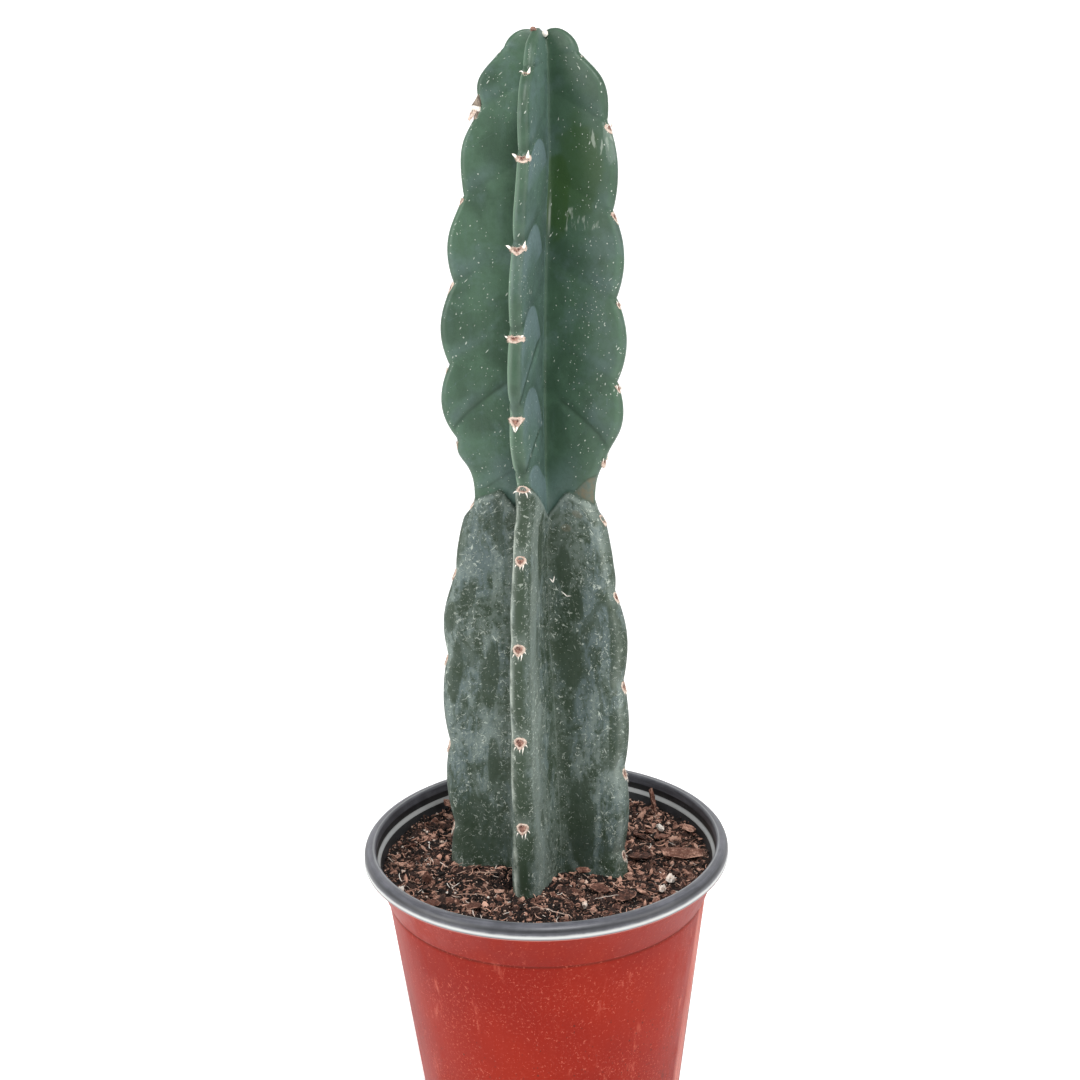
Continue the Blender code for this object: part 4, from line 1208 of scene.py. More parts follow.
def pot_lip(settings):
    """Scuffed grey with painted shade in the hollow under the top, painted highlights along the outer and
    inner edges and on the ledge, and dust at the foot of the skirt.
    """
    material, tree, spot = new_material("pot_lip")
    x, y, z = tree.apart(spot)
    radius = tree.math("SQRT", x * x + y * y)
    drop = POT_TOP - z
    worn = tree.noise(spot, 160.0, 4.0, 0.65)
    fine = tree.noise(spot, 1100.0, 2.0)
    ring = tree.vector(tree.math("ARCTAN2", x, y * -1.0) * 0.006, radius, z)
    scuffed = tree.noise(ring, 900.0, 3.0, 0.6)
    outer = radius > RIM_RADIUS - 1.7 * MM
    frayed = drop + (worn - 0.5) * 0.9 * MM
    # Painted highlight along the lip's outer edge, broken up by scuffs
    glint = tree.fade(frayed, 3.1 * MM, 3.9 * MM) * tree.fade(drop, 5.2 * MM, 4.8 * MM) * outer
    glint = glint * (0.3 + scuffed * 0.4 + bell(drop - 4.3 * MM, 0.4 * MM) * 0.55)
    # Painted highlights on the ledge inside and along the lip's inner top edge
    ledge = (drop > 6.3 * MM) * 0.6
    thin = bell(radius - 72.0 * MM, 0.3 * MM) * (drop < 1.8 * MM) * 0.3
    colour = tree.coats(
        settings.lip_dark,
        (tree.fade(worn * 0.5 + scuffed * 0.5, 0.4, 0.62), settings.lip_grey),
        # Painted shade in the hollow under the top of the lip
        (bell(drop - 1.9 * MM, 1.0 * MM) * outer * 0.8, settings.pot_black_and_shade),
        ((glint + ledge + thin).math("MINIMUM", 1.0), settings.lip_glint),
        (tree.fade(drop, 5.1 * MM, 5.4 * MM) * outer * 0.7, settings.pot_dust))
    relief = worn * 0.3 + fine * 0.1 + scuffed * 0.2
    return paint(material, tree, colour, 0.3 + worn * 0.2, relief, 0.15 * MM)


def pot_inside(settings):
    """Black sheet with crumbs of mix stuck to it."""
    material, tree, spot = new_material("pot_inside")
    worn = tree.noise(spot, 90.0, 4.0, 0.6)
    crumbs = tree.fade(tree.noise(spot, 700.0, 3.0, 0.7), 0.62, 0.7)
    colour = tree.coats(
        settings.pot_black_and_shade,
        (tree.fade(worn, 0.45, 0.75) * 0.4, settings.lip_dark),
        (crumbs * 0.3, settings.dirt_and_shade))
    return paint(material, tree, colour, 0.45, worn + crumbs * 0.3, 0.2 * MM)


# Potting mix

def read(pairs, at):
    """Reads a table of (height, value) pairs in plain numbers, in straight steps."""
    if at <= pairs[0][0]:
        return pairs[0][1]
    for (h0, v0), (h1, v1) in zip(pairs, pairs[1:]):
        if at <= h1:
            return v0 + (v1 - v0) * (at - h0) / (h1 - h0)
    return pairs[-1][1]


def stem_outline(height):
    """The stem's section at a height in millimetres, by the same rule as the skin's tree."""
    count = read([(level, number) for number, level in enumerate(AREOLES)], height - NOTCH_RISE / MM)
    points = []
    for rib in range(RIBS):
        phase = (count + (3 * rib % RIBS) / RIBS) % 1
        crest = read(CREST, height) + read(SWELL, height) * math.sin(math.pi * phase) ** 0.85
        half = half_outline(crest, height)
        turn = FRONT_RIB_TURN + math.tau / RIBS * rib
        for out, across in [(p.x, -p.y) for p in half] + [(p.x, p.y) for p in reversed(half[1:-1])]:
            x = read(CENTRE_X, height) + out * math.sin(turn) + across * math.cos(turn)
            y = CENTRE_Y / MM - out * math.cos(turn) + across * math.sin(turn)
            points.append(Vector((x, y)) * MM)
    return points


def half_outline(crest, height, flank_steps=9, arc_steps=4):
    """Half a rib's section in the rib's frame, from the groove over the flank to the crest."""
    width, valley = read(CREST_ROUND, height), read(VALLEY, height)
    rounding = read(GROOVE_ROUND, height) * 0.5
    bisector = Vector((math.cos(HALF_RIB), math.sin(HALF_RIB)))
    meet, middle = valley * bisector, Vector((crest - width, 0))
    back = meet - middle
    turn = math.atan2(back.y, back.x) - math.acos(width / back.length)
    touch = middle + width * Vector((math.cos(turn), math.sin(turn)))
    flank = touch - meet
    length = flank.length
    flank.normalize()
    opening, cross = flank.dot(bisector), flank.y * bisector.x - flank.x * bisector.y
    points = []
    for step in range(flank_steps):
        along = length * (step / flank_steps) ** 1.25
        rise = opening * math.hypot(along, rounding)
        points.append(meet + bisector * rise + Vector((-bisector.y, bisector.x)) * cross * along)
    bends = [turn * (1 - step / arc_steps) for step in range(arc_steps + 1)]
    return points + [middle + width * Vector((math.cos(bend), math.sin(bend))) for bend in bends]


def soil_mesh():
    """The bed of mix as one closed form: the stem's hole, the surface, the side and the bottom."""
    outline = stem_outline(-11)
    count, steps, edge = len(outline), 60, 69.4 * MM
    centre = Vector((CENTRE_X[0][1] * MM, CENTRE_Y))
    angles = [math.atan2(p.y - centre.y, p.x - centre.x) for p in outline]
    turns = [0.0]
    for before, after in zip(angles, angles[1:]):
        turns.append(turns[-1] + ((after - before + math.pi) % math.tau - math.pi))
    way = 1 if turns[-1] > 0 else -1
    spaced = [angles[0] + way * math.tau * (0.65 * i / count + 0.35 * abs(turn) / math.tau)
              for i, turn in enumerate(turns)]
    rings = [[(p.x, p.y, height) for p in outline] for height in (POT_TOP - FOOT_DROP, SOIL_TOP - 2 * MM)]
    for step in range(steps + 1):
        ring = []
        for point, angle in zip(outline, spaced):
            spot = point.lerp(Vector((math.cos(angle), math.sin(angle))) * edge, step / steps)
            ring.append((spot.x, spot.y, SOIL_TOP))
        rings.append(ring)
    for radius, height in ((64.9, 118), (62, 92), (51.2, 1.8), (44.8, 1.9), (42.5, 4.2)):
        rings.append([(radius * MM * math.cos(a), radius * MM * math.sin(a), height * MM) for a in spaced])
    made = bmesh.new()
    rows = [[made.verts.new(p) for p in ring] for ring in rings]
    bridge(made, rows)
    for row in (rows[0], rows[-1]):
        middle = made.verts.new(sum((v.co for v in row), Vector()) / count)
        for side in range(count):
            made.faces.new((row[side], row[(side + 1) % count], middle))
    return finished(made, "potting_mix_bed")


def bed_tree(material):
    """Raises and sinks the surface of the mix in lumps and crumbs."""
    tree, entry = geometry_tree("Mix surface", {
        "Lumps": 2.6 * MM, "Crumbs": 1.6 * MM, "Hollow": 3.5 * MM, "Level": SOIL_TOP - 0.5 * MM})
    spot = tree.node("GeometryNodeInputPosition")
    x, y, z = tree.apart(spot)
    lumps = (tree.noise(spot, 60.0, 2.0) - 0.5) * entry["Lumps"]
    crumbs = (tree.cells(spot, 330.0) - 0.45) * entry["Crumbs"]
    hollow = bell(x + 15 * MM, 5 * MM) * bell(y + 19 * MM, 6 * MM) * entry["Hollow"]
    offset = tree.vector(0.0, 0.0, (lumps - crumbs - hollow) * (z > entry["Level"]))
    moved = tree.node("GeometryNodeSetPosition", (), {"Geometry": entry["Geometry"], "Offset": offset})
    return finish_tree(tree, moved, material)


def chip_mesh(name, rng, corners, long, wide, thick, wobble=0.3, rings=1):
    """A ragged flake lying in XY with its length along X, which keeps its own coordinates for its grain."""
    made = bmesh.new()
    own, rim = made.verts.layers.float_vector.new("Local"), made.verts.layers.float.new("Edge")
    reaches = [rng.uniform(1 - wobble, 1) for _ in range(corners)]
    rows = []
    for ring in range(rings + 1):
        share = (ring + 1) / (rings + 1)
        row = []
        for corner, reach in enumerate(reaches):
            angle = math.tau * corner / corners
            x, y = long / 2 * reach * share * math.cos(angle), wide / 2 * reach * share * math.sin(angle)
            fold = 0.25 * math.sin(9 * y / wide + long / MM) + rng.uniform(-0.3, 0.3)
            rise = thick * (0.5 + fold * (0.4 + 0.6 * share) - 0.35 * share ** 3)
            row.append(made.verts.new((x, y, rise)))
        rows.append(row)
    low = [made.verts.new((v.co.x * 0.88, v.co.y * 0.82, -thick / 2 * rng.uniform(0.5, 1)))
           for v in rows[-1]]
    rows.append(low)
    peak = made.verts.new((0, 0, thick * 0.6))
    for corner in range(corners):
        after = (corner + 1) % corners
        made.faces.new((rows[0][corner], rows[0][after], peak))
        for inner, outer in zip(rows, rows[1:]):
            made.faces.new((inner[corner], outer[corner], outer[after], inner[after]))
    made.faces.new(reversed(low))
    for vert in made.verts:
        vert[own] = vert.co
    for vert in rows[-2]:
        vert[rim] = 1.0
    return finished(made, name, outwards=False)


def curl_mesh(name, rng, length, width, turns):
    """A thin curled fibre lying roughly in XY."""
    made = bmesh.new()
    steps, sides = 9, 3
    rows = []
    heading, place = 0.0, Vector((-length / 2, 0, 0.2 * MM))
    for step in range(steps):
        share = step / (steps - 1)
        radius = width * (0.35 + 0.65 * math.sin(math.pi * share) ** 0.5)
        across = Vector((-math.sin(heading), math.cos(heading), 0))
        row = []
        for side in range(sides):
            angle = math.tau * side / sides
            row.append(made.verts.new(place + across * radius * math.cos(angle)
                                      + Vector((0, 0, radius * 0.6 * math.sin(angle)))))
        rows.append(row)
        heading += turns / steps + rng.uniform(-0.25, 0.25)
        ahead = Vector((math.cos(heading), math.sin(heading), rng.uniform(-0.2, 0.25)))
        place = place + ahead * length / steps
    bridge(made, rows)
    made.faces.new(reversed(rows[0]))
    made.faces.new(rows[-1])
    return finished(made, name)


# Single pieces that stand out on the mix, in millimetres from the middle of the rim:
# place, length, width, thickness, turn and two tilts in degrees
SINGLES = {
    "mix_single_bark": [
        ((57, -3.5, -8.2), 20, 9.5, 1.7, -3, 5, 2), ((39.5, -3.5, -9.2), 12, 8, 1.5, 24, -6, 8),
        ((48, 41.5, -5), 14, 4.5, 1.9, 8, 2, 80), ((31, -38, -8.4), 9.5, 6, 1.4, 20, 12, -8),
        ((21, -31, -8.8), 10, 5, 1.5, -14, 8, 10), ((50, 13, -8.8), 10, 5, 1.3, 40, -10, 12),
        ((62, 20, -8.6), 8, 5, 1.3, -30, 10, 6), ((-46, -39, -9), 10, 4.5, 1.3, 35, 10, 8),
        ((-29, -42, -8.8), 9, 4, 1.3, -25, 8, -10), ((-43, 49, -7.5), 8, 5, 2.2, 10, 20, 25),
        ((15.5, -14, -9), 8, 4, 1.4, 5, 12, 0), ((-49, -19, -8.2), 4.6, 4.2, 3.2, 15, 10, 25)],
    "mix_single_mineral": [
        ((50, -25, -8.6), 4.4, 3.4, 2.8, 10, 0, 20), ((46, -32.5, -8.8), 3.4, 3, 2.4, 60, 0, 0),
        ((-59, -28, -8.6), 3.2, 2.8, 2.4, 30, 0, 0), ((14.5, -45.5, -7.8), 3.8, 2.2, 2, 80, 0, 60),
        ((49.5, 20, -8.2), 4.4, 2.4, 2, -40, 0, 30)],
    "mix_single_straw": [
        ((4, -47.5, -8.2), 21, 0.5, 0.5, -4, 0, 2), ((-31, -33, -8), 13, 0.45, 0.45, 40, 0, 12),
        ((-25, -16.5, -7.8), 11, 0.9, 0.7, 35, 0, 14), ((24, -41, -8), 12, 0.45, 0.45, 15, 0, 6),
        ((-38, -10, -8.4), 9, 0.4, 0.4, 70, 0, 8)],
}


def single_pieces_mesh(name, rng):
    """One mesh of the named single pieces, each in its place."""
    whole = bmesh.new()
    tone = whole.verts.layers.float.new("Tone")
    for place, long, wide, thick, turn, tilt_x, tilt_y in SINGLES[name]:
        if name.endswith("straw"):
            part = curl_mesh("part", rng, long * MM, wide * MM / 2, rng.uniform(-0.8, 0.8))
        else:
            part = chip_mesh("part", rng, 17, long * MM, wide * MM, thick * MM, 0.25, 3)
        turns = Matrix.Rotation(math.radians(turn), 4, "Z") @ Matrix.Rotation(math.radians(tilt_y), 4, "Y")
        turns = turns @ Matrix.Rotation(math.radians(tilt_x), 4, "X")
        part.transform(Matrix.Translation(Vector(place) * MM + Vector((0, 0, POT_TOP))) @ turns)
        before = len(whole.verts)
        whole.from_mesh(part)
        whole.verts.ensure_lookup_table()
        share = rng.uniform(0.5, 0.85)
        for vert in whole.verts[before:]:
            vert[tone] = share
    return finished(whole, name, outwards=False)


def scatter_tree(name, material, sources, inputs, tilt):
    """Lays copies of a few pieces over the surface of the mix."""
    named = {"Density": 1.0, "Crowd on the right": 0.0, "Reach": 69 * MM, "Smallest": 0.6, "Largest": 1.2,
             "Seed": 1, "Lift": 0.0, "Level": SOIL_TOP - 3 * MM}
    named.update(inputs)
    tree, entry = geometry_tree(name, named)
    _, _, up = tree.apart(tree.node("GeometryNodeInputNormal"))
    x, y, z = tree.apart(tree.node("GeometryNodeInputPosition"))
    near_middle = (x * x + y * y) < entry["Reach"] * entry["Reach"]
    crowd = tree.fade(x, 5 * MM, 40 * MM) * entry["Crowd on the right"] + 1.0
    where = (z > entry["Level"]) * (up > 0.05) * near_middle
    points = tree.scatter(entry["Geometry"], where, crowd * entry["Density"], entry["Seed"])
    turn = tree.random_turn(tilt, math.pi, entry["Seed"] + 1.0)
    size = tree.random(entry["Smallest"], entry["Largest"], entry["Seed"] + 2.0)
    toned = tree.store(points, "Tone", tree.random(0.0, 1.0, entry["Seed"] + 3.0), "FLOAT")
    shapes = [tree.source(source) for source in sources]
    choice = tree.node("GeometryNodeGeometryToInstance", (), [shapes])
    pieces = tree.place(toned, choice, tree.turned(tree.sibling(points, "Rotation"), turn), size, True)
    lifted = tree.node(
        "GeometryNodeTranslateInstances", (),
        {"Instances": pieces, "Translation": tree.vector(0.0, 0.0, entry["Lift"]), "Local Space": False})
    return finish_tree(tree, lifted, material)


def mix_material(name, dark, middle, pale, white, loose=True):
    """Crumbly brown matter whose tone differs from piece to piece, with a grain along each piece, painted
    highlights on the pieces' rims and painted shade on what lies low in the bed.
    """
    material, tree, spot = new_material(name)
    tone = attribute(tree, "Tone", "Fac")
    shift = tree.vector(tone, tone * 3.0, tone * 7.0)
    own = tree.join("ADD", attribute(tree, "Local"), shift) if loose else spot
    mottle = tree.noise(own, 330.0, 4.0, 0.65)
    fine = tree.noise(spot, 1500.0, 3.0, 0.6)
    grain = tree.noise(tree.stretch(own, 0.2, 1.0, 1.0), 1300.0, 3.0, 0.6)
    level = tone * 0.9 + (mottle - 0.5) * 0.7 + (fine - 0.5) * 0.4 if loose else mottle
    # Painted highlight on the rims of the loose pieces
    edge = tree.fade(attribute(tree, "Edge", "Fac"), 0.55, 1.0) * tree.fade(mottle, 0.4, 0.6)
    _, _, z = tree.apart(spot)
    # Painted shade on whatever lies low in the bed, so that the gaps between pieces come out dark
    low_shade = tree.fade(z - SOIL_TOP + (tree.noise(spot, 60.0, 2.0) - 0.5) * -2.6 * MM, 1.2 * MM, -0.7 * MM)
    colour = tree.coats(
        dark,
        (tree.fade(level, 0.34, 0.66), middle),
        (tree.fade(level, 0.62, 0.88), pale),
        (tree.fade(grain, 0.5, 0.62) * 0.3, dark),
        (edge * tree.fade(level, 0.2, 0.7) * 0.8, pale),
        (tree.fade(fine, 0.64, 0.72) * 0.5, white),
        (low_shade * 0.85, dark))
    relief = fine * 0.4 + grain * 0.6 + mottle * 0.5
    return paint(material, tree, colour, 0.85, relief, 0.6 * MM, Specular_IOR_Level=0.3)


# Loose layers of the mix: material, number, smallest and largest size, tilt, reach from the middle in
# millimetres, crowding on the right, then corners, length, width and thickness in millimetres of each shape
LAYERS = {
    "mix_crumbs": ("crumbs", 6500, 0.5, 1.4, 1.3, 69, 0.0, [
        (5, 1.6, 1.1, 0.9), (4, 1.3, 1.2, 1.0), (5, 2.2, 1.2, 0.8)]),
    "mix_chips": ("chips", 2000, 0.5, 1.4, 0.9, 66.4, 0.2, [
        (7, 5.0, 2.2, 0.8), (6, 3.6, 2.4, 1.0), (7, 6.0, 1.6, 0.7)]),
    "mix_bark": ("bark", 850, 0.5, 1.4, 0.6, 65.3, 1.2, [
        (8, 5.5, 3.0, 0.8), (9, 7.8, 3.2, 0.9), (7, 4.4, 3.2, 1.0)]),
    "mix_bits": ("straw", 2600, 0.4, 1.1, 1.4, 69, 0.0, [(4, 1.4, 0.6, 0.5), (5, 1.0, 0.8, 0.6)]),
    "mix_mineral": ("mineral", 260, 0.35, 1.1, 1.5, 68.5, 0.0, [(5, 1.5, 1.3, 1.2), (6, 1.9, 1.5, 1.3)]),
}
MIX_AREA = math.pi * (69 * MM) ** 2


# Settings

def colour_setting(name, description, colour):
    """A colour given as it is seen on a screen, 0 to 255."""
    return bpy.props.FloatVectorProperty(
        name=name, description=description, subtype="COLOR", min=0.0, max=1.0, default=linear(*colour))


def power_setting(side, watts):
    """The power of the light on one side."""
    return bpy.props.FloatProperty(
        name=f"{side} light", description=f"Power of the {side.lower()} light", default=watts, min=0.0,
        unit="POWER")


class StemSettings(bpy.types.PropertyGroup):
    young_green: colour_setting("Young green", "Skin of the young growth", (66, 93, 73))
    # Dark green of patches, also the colour of the painted shade on the young growth
    young_dark_and_shade: colour_setting("Young dark green", "Darker patches and creases", (32, 54, 38))
    # Colour of the painted highlight along the young rib edges
    crest_highlight: colour_setting("Crest green", "Edges of the young ribs", (120, 146, 124))
    bloom: colour_setting("Bloom", "Bluish wax on the young growth", (90, 110, 110))
    olive: colour_setting("Olive", "Stained patches of the young growth", (40, 66, 28))
    # Green of the bare old skin, also the colour of the painted shade in the grooves
    old_green_and_shade: colour_setting("Old green", "Bare skin of the old growth", (40, 55, 39))
    old_grey: colour_setting("Old grey-green", "Dull skin of the old growth", (74, 87, 78))
    old_blue: colour_setting("Old blue-grey", "Waxy patches of the old growth", (92, 107, 108))
    wedge_brown: colour_setting("Old brown", "Corky skin over the joint", (96, 88, 68))
    dust: colour_setting("Dust", "Pale dust and wax on the old growth", (122, 134, 127))
    speck: colour_setting("Specks", "Small pale marks", (204, 212, 200))
    felt_rim: colour_setting("Felt", "Rim of the areoles", (204, 186, 172))
    felt_middle: colour_setting("Felt middle", "Middle of the areoles", (148, 112, 98))
    felt_dark: colour_setting("Dark felt", "Darkest felt in the middle of the areoles", (92, 62, 54))
    spine: colour_setting("Spines", "Horny spines", (236, 230, 220))
    husk: colour_setting("Husk", "Dry flakes", (146, 132, 118))
    husk_dark: colour_setting("Dark husk", "Streaks of the dry flakes", (70, 62, 54))


class PotSettings(bpy.types.PropertyGroup):
    sides: bpy.props.IntProperty(
        name="Sides", description="Steps round the pot", default=160, min=24, max=256)
    pot_red: colour_setting("Red", "Outside of the pot", (135, 29, 10))
    pot_dark: colour_setting("Dark red", "Darker patches outside", (124, 23, 10))
    pot_dust: colour_setting("Dust", "Dust and scuffs", (190, 98, 80))
    # Colour of the painted highlight stripe down the pot's right side
    pot_sheen: colour_setting("Sheen", "Pale worn stripe down the side", (190, 106, 90))
    lip_grey: colour_setting("Lip grey", "Worn top of the lip", (92, 93, 100))
    lip_dark: colour_setting("Lip dark grey", "Darker patches of the lip", (72, 73, 79))
    # Colour of the painted highlights on the lip and the ledge
    lip_glint: colour_setting("Lip silver", "Bright edge of the lip and the ledge", (186, 188, 186))
    # Black of the inside, also the colour of the painted shade on the lip
    pot_black_and_shade: colour_setting("Black", "Inside of the pot", (26, 27, 29))
    # Colour of the dirt, also of the painted shade lines on the pot's side
    dirt_and_shade: colour_setting("Dirt", "Dirt specks on the wall", (52, 36, 30))


class MixSettings(bpy.types.PropertyGroup):
    black: colour_setting("Blackish brown", "Damp fine mix", (18, 12, 10))
    dark: colour_setting("Dark brown", "Small crumbs", (46, 30, 25))
    brown: colour_setting("Brown", "Bark chips", (106, 70, 58))
    light: colour_setting("Light brown", "Dry chips", (194, 148, 128))
    pale: colour_setting("Pale brown", "Driest chips", (206, 162, 142))
    straw: colour_setting("Straw", "Pale fibres", (212, 182, 164))
    white: colour_setting("White", "Mineral grains", (226, 220, 212))
    seed: bpy.props.IntProperty(
        name="Seed", description="Arrangement of the loose pieces", default=11, min=0)


class StudioSettings(bpy.types.PropertyGroup):
    floor: colour_setting("Floor", "Floor and backdrop", (250, 250, 250))
    left_power: power_setting("Left", 15.5)
    right_power: power_setting("Right", 10.0)
    top_power: power_setting("Top", 16.0)
    sky: bpy.props.FloatProperty(name="Sky", description="Brightness all round", default=0.42, min=0.0)
    glow: bpy.props.FloatProperty(
        name="Backdrop glow", description="Light of the backdrop", default=0.35, min=0.0)
    focal_length: bpy.props.FloatProperty(
        name="Focal length", description="Lens of the camera", default=50.0, min=1.0, unit="CAMERA")


# Operators

class CACTUS_OT_pot(bpy.types.Operator):
    """Makes the nursery pot with its rolled lip"""
    bl_idname = "cactus.pot"
    bl_label = "Pot"

    def execute(self, context):
        settings = context.scene.cactus_pot
        pot = link_piece("nursery_pot", turned_mesh("nursery_pot", pot_profile(), settings.sides))
        for finish in (pot_outside, pot_lip, pot_inside):
            pot.data.materials.append(finish(settings))
        drain_holes(pot)
        shade(pot, 38)
        hand_over(pot, "pot")
        return {"FINISHED"}


class CACTUS_OT_mix(bpy.types.Operator):
    """Makes the bed of potting mix and everything that lies on it"""
    bl_idname = "cactus.mix"
    bl_label = "Potting mix"

    def execute(self, context):
        settings = context.scene.cactus_mix
        rng = random.Random(settings.seed)
        black, dark, brown, light = settings.black, settings.dark, settings.brown, settings.light
        pale, straw, white = settings.pale, settings.straw, settings.white
        fines = mix_material("mix_fines", black, dark, light, straw, False)
        looks = {
            name: mix_material(f"mix_{name}", *tones) for name, tones in {
                "crumbs": (black, dark, light, straw), "chips": (black, brown, light, straw),
                "bark": (dark, brown, pale, straw), "straw": (light, straw, white, white),
                "mineral": (straw, white, white, white)}.items()}
        bed = grown_by("potting_mix_bed", bed_tree(fines), start=soil_mesh())
        shade(bed, 50)
        for number, (name, layer) in enumerate(LAYERS.items()):
            look, count, smallest, largest, tilt, reach, right, shapes = layer
            meshes = [chip_mesh("chip", rng, corners, long * MM, wide * MM, thick * MM)
                      for corners, long, wide, thick in shapes]
            inputs = {"Density": count / MIX_AREA, "Smallest": smallest, "Largest": largest,
                      "Seed": settings.seed + number, "Reach": reach * MM, "Crowd on the right": right}
            self.lay(name, looks[look], meshes, inputs, tilt, bed.data)
        meshes = [curl_mesh("fibre", rng, rng.uniform(3, 7) * MM, 0.2 * MM, rng.uniform(-3, 3))
                  for _ in range(5)]
        inputs = {"Density": 900 / MIX_AREA, "Smallest": 0.5, "Largest": 1.3, "Seed": settings.seed + 9,
                  "Lift": 0.4 * MM, "Reach": 66 * MM}
        self.lay("mix_fibres", looks["straw"], meshes, inputs, 0.6, bed.data)
        for name in SINGLES:
            single = link_piece(name, single_pieces_mesh(name, rng))
            single.data.materials.append(looks[name.split("_")[-1]])
            hand_over(single, "potting_mix")
        hand_over(bed, "potting_mix")
        return {"FINISHED"}

    def lay(self, name, material, meshes, inputs, tilt, surface):
        """Scatters one layer of loose pieces over the bed."""
        sources = [link_piece(f"{name}_source", mesh) for mesh in meshes]
        tree = scatter_tree(name, material, sources, inputs, tilt)
        piece = grown_by(name, tree, inputs, surface.copy(), sources)
        hand_over(piece, "potting_mix")


class CACTUS_OT_stem(bpy.types.Operator):
    """Makes the stem's ribbed skin"""
    bl_idname = "cactus.stem"
    bl_label = "Stem"

    def execute(self, context):
        settings = context.scene.cactus_stem
        skin = grown_by("stem_skin", skin_tree(skin_material(settings)))
        made = bmesh.new()
        made.from_mesh(skin.data)
        bmesh.ops.recalc_face_normals(made, faces=made.faces[:])
        made.to_mesh(skin.data)
        made.free()
        shade(skin)
        hand_over(skin, "stem")
        return {"FINISHED"}


class CACTUS_OT_areoles(bpy.types.Operator):
    """Makes the felt and the spines of every areole"""
    bl_idname = "cactus.areoles"
    bl_label = "Areoles"

    def execute(self, context):
        settings = context.scene.cactus_stem
        rng = random.Random(3)
        sources = [link_piece(f"areole_{kind}", areole_mesh(kind, rng)) for kind in OLD_KINDS + YOUNG_KINDS]
        sources.append(link_piece("felt_hair", fibre_mesh()))
        felt = grown_by("stem_areoles", areole_tree(felt_material(settings), sources), sources=sources)
        hand_over(felt, "stem")
        return {"FINISHED"}


class CACTUS_OT_husks(bpy.types.Operator):
    """Makes the dry husks and the stray spines that cling to the stem"""
    bl_idname = "cactus.husks"
    bl_label = "Husks"

    def execute(self, context):
        settings = context.scene.cactus_stem
        husks = link_piece("stem_husks", husks_mesh())
        husks.data.materials.append(husk_material(settings))
        hand_over(husks, "stem")
        return {"FINISHED"}


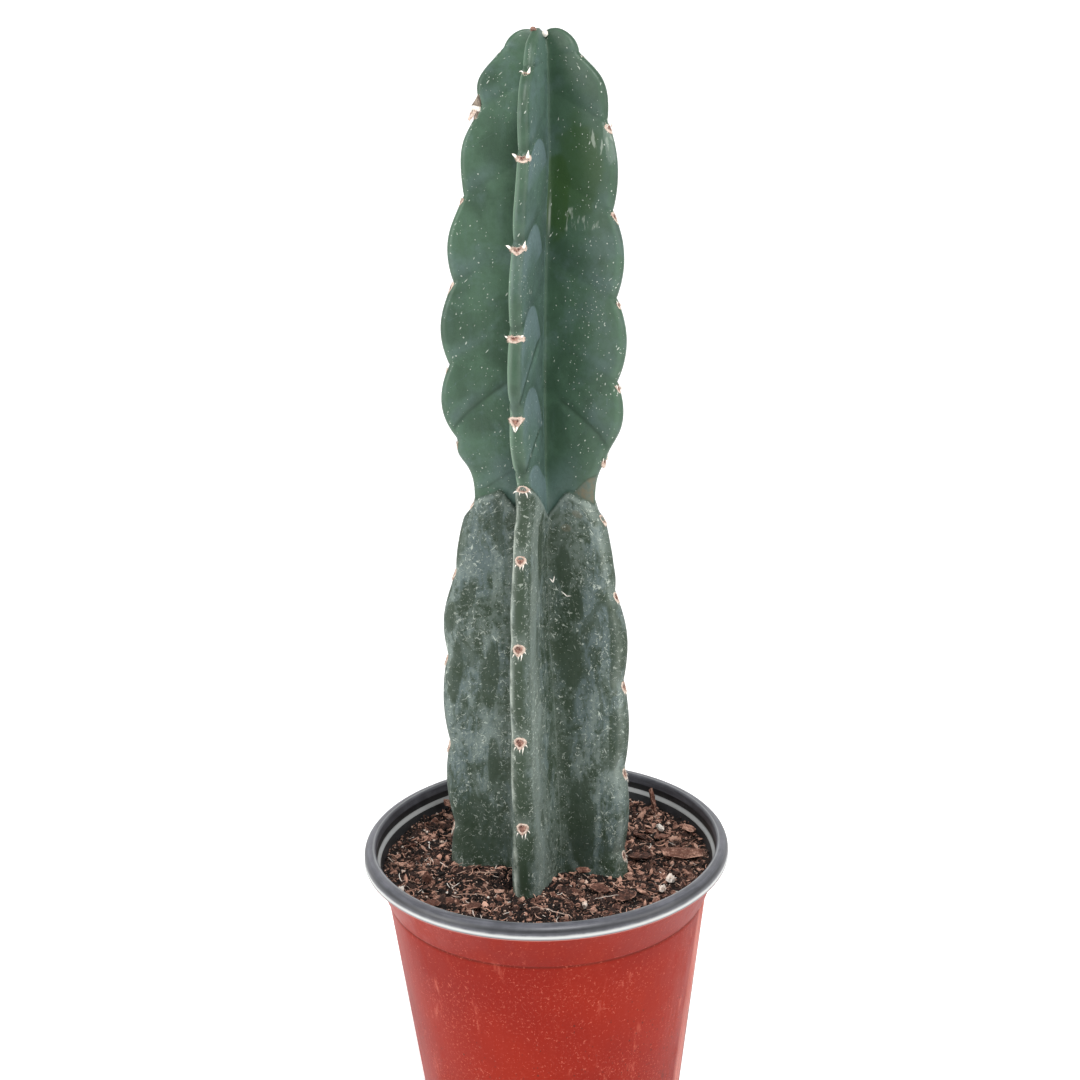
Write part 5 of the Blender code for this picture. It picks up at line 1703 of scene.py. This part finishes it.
class CACTUS_OT_studio(bpy.types.Operator):
    """Sets up the floor, the lights and the camera"""
    bl_idname = "cactus.studio"
    bl_label = "Studio"

    def execute(self, context):
        settings = context.scene.cactus_studio
        self.floor(settings)
        self.light("left_light", (-1.3, -0.6, 0.75), 0.9, settings.left_power)
        self.light("right_light", (1.2, -0.55, 0.8), 0.9, settings.right_power)
        self.light("top_light", (0.15, -0.85, 1.5), 0.35, settings.top_power)
        self.sky(settings)
        self.camera(settings)
        context.scene.view_settings.view_transform = "Standard"
        return {"FINISHED"}

    def floor(self, settings):
        """A floor that bends up into the backdrop."""
        material, _, _ = new_material("studio_floor")
        shader = material.node_tree.nodes["Principled BSDF"]
        values = {"Base Color": (*settings.floor, 1.0), "Roughness": 0.9,
                  "Emission Color": (1.0, 1.0, 1.0, 1.0), "Emission Strength": settings.glow}
        for name, value in values.items():
            shader.inputs[name].default_value = value
        front, back, bend, top, half_width, steps = -3.0, 1.2, 0.8, 3.5, 4.0, 12
        section = [(front, 0.0)]
        for step in range(steps + 1):
            angle = math.pi / 2 * step / steps
            section.append((back + bend * math.sin(angle), bend - bend * math.cos(angle)))
        section.append((back + bend, top))
        made = bmesh.new()
        rows = [[made.verts.new((x, y, z)) for x in (-half_width, half_width)] for y, z in section]
        for lower, upper in zip(rows, rows[1:]):
            made.faces.new((lower[0], lower[1], upper[1], upper[0]))
        mesh = finished(made, "studio_floor", outwards=False, smooth=True)
        mesh.materials.append(material)
        link_piece("studio_floor", mesh)

    def light(self, name, place, size, power):
        """A square light that looks at the plant's middle."""
        lamp = bpy.data.lights.new(name, "AREA")
        lamp.energy, lamp.shape, lamp.size = power, "SQUARE", size
        made = bpy.data.objects.new(name, lamp)
        bpy.context.scene.collection.objects.link(made)
        made.location = place
        aim = Vector((0, 0, AIM_HEIGHT)) - Vector(place)
        made.rotation_euler = aim.to_track_quat("-Z", "Y").to_euler()

    def sky(self, settings):
        """Even white light all round."""
        world = bpy.data.worlds.new("studio_sky")
        world.use_nodes = True
        backdrop = world.node_tree.nodes["Background"]
        backdrop.inputs["Color"].default_value = (1.0, 1.0, 1.0, 1.0)
        backdrop.inputs["Strength"].default_value = settings.sky
        bpy.context.scene.world = world

    def camera(self, settings):
        """The photograph's camera, tilted down and rolled."""
        forward = Vector((0, math.cos(CAMERA_PITCH), -math.sin(CAMERA_PITCH)))
        right = Vector((1, 0, 0))
        up = right.cross(forward)
        cos, sin = math.cos(CAMERA_ROLL), math.sin(CAMERA_ROLL)
        right, up = cos * right + sin * up, -sin * right + cos * up
        lens = bpy.data.cameras.new("camera")
        lens.lens, lens.sensor_width, lens.clip_start = settings.focal_length, 36.0, 0.01
        made = bpy.data.objects.new("camera", lens)
        bpy.context.scene.collection.objects.link(made)
        turn = Matrix((right, up, -forward)).transposed().to_4x4()
        made.matrix_world = Matrix.Translation(CAMERA_PLACE) @ turn
        bpy.context.scene.camera = made


class CACTUS_PT_panel(bpy.types.Panel):
    """Lists the pieces of the potted cactus"""
    bl_idname = "CACTUS_PT_panel"
    bl_label = "Potted cactus"
    bl_space_type = "VIEW_3D"
    bl_region_type = "UI"
    bl_category = "Cactus"

    def draw(self, context):
        for operator in OPERATORS:
            self.layout.operator(operator.bl_idname)
        for name in SETTINGS:
            group = getattr(context.scene, name)
            box = self.layout.box()
            for key in group.__annotations__:
                box.prop(group, key)


OPERATORS = (
    CACTUS_OT_pot, CACTUS_OT_mix, CACTUS_OT_stem, CACTUS_OT_areoles, CACTUS_OT_husks, CACTUS_OT_studio)
SETTINGS = {
    "cactus_pot": PotSettings,
    "cactus_mix": MixSettings,
    "cactus_stem": StemSettings,
    "cactus_studio": StudioSettings,
}


def register():
    """Adds the settings, the operators and the panel."""
    for group in SETTINGS.values():
        bpy.utils.register_class(group)
    for operator in OPERATORS:
        bpy.utils.register_class(operator)
    bpy.utils.register_class(CACTUS_PT_panel)
    for name, group in SETTINGS.items():
        setattr(bpy.types.Scene, name, bpy.props.PointerProperty(type=group))


def unregister():
    """Takes them away again."""
    for name in SETTINGS:
        delattr(bpy.types.Scene, name)
    bpy.utils.unregister_class(CACTUS_PT_panel)
    for operator in reversed(OPERATORS):
        bpy.utils.unregister_class(operator)
    for group in SETTINGS.values():
        bpy.utils.unregister_class(group)


def main():
    """Makes every piece and the stage."""
    register()
    bpy.ops.cactus.pot()
    bpy.ops.cactus.mix()
    bpy.ops.cactus.stem()
    bpy.ops.cactus.areoles()
    bpy.ops.cactus.husks()
    bpy.ops.cactus.studio()


if __name__ == "__main__":
    main()
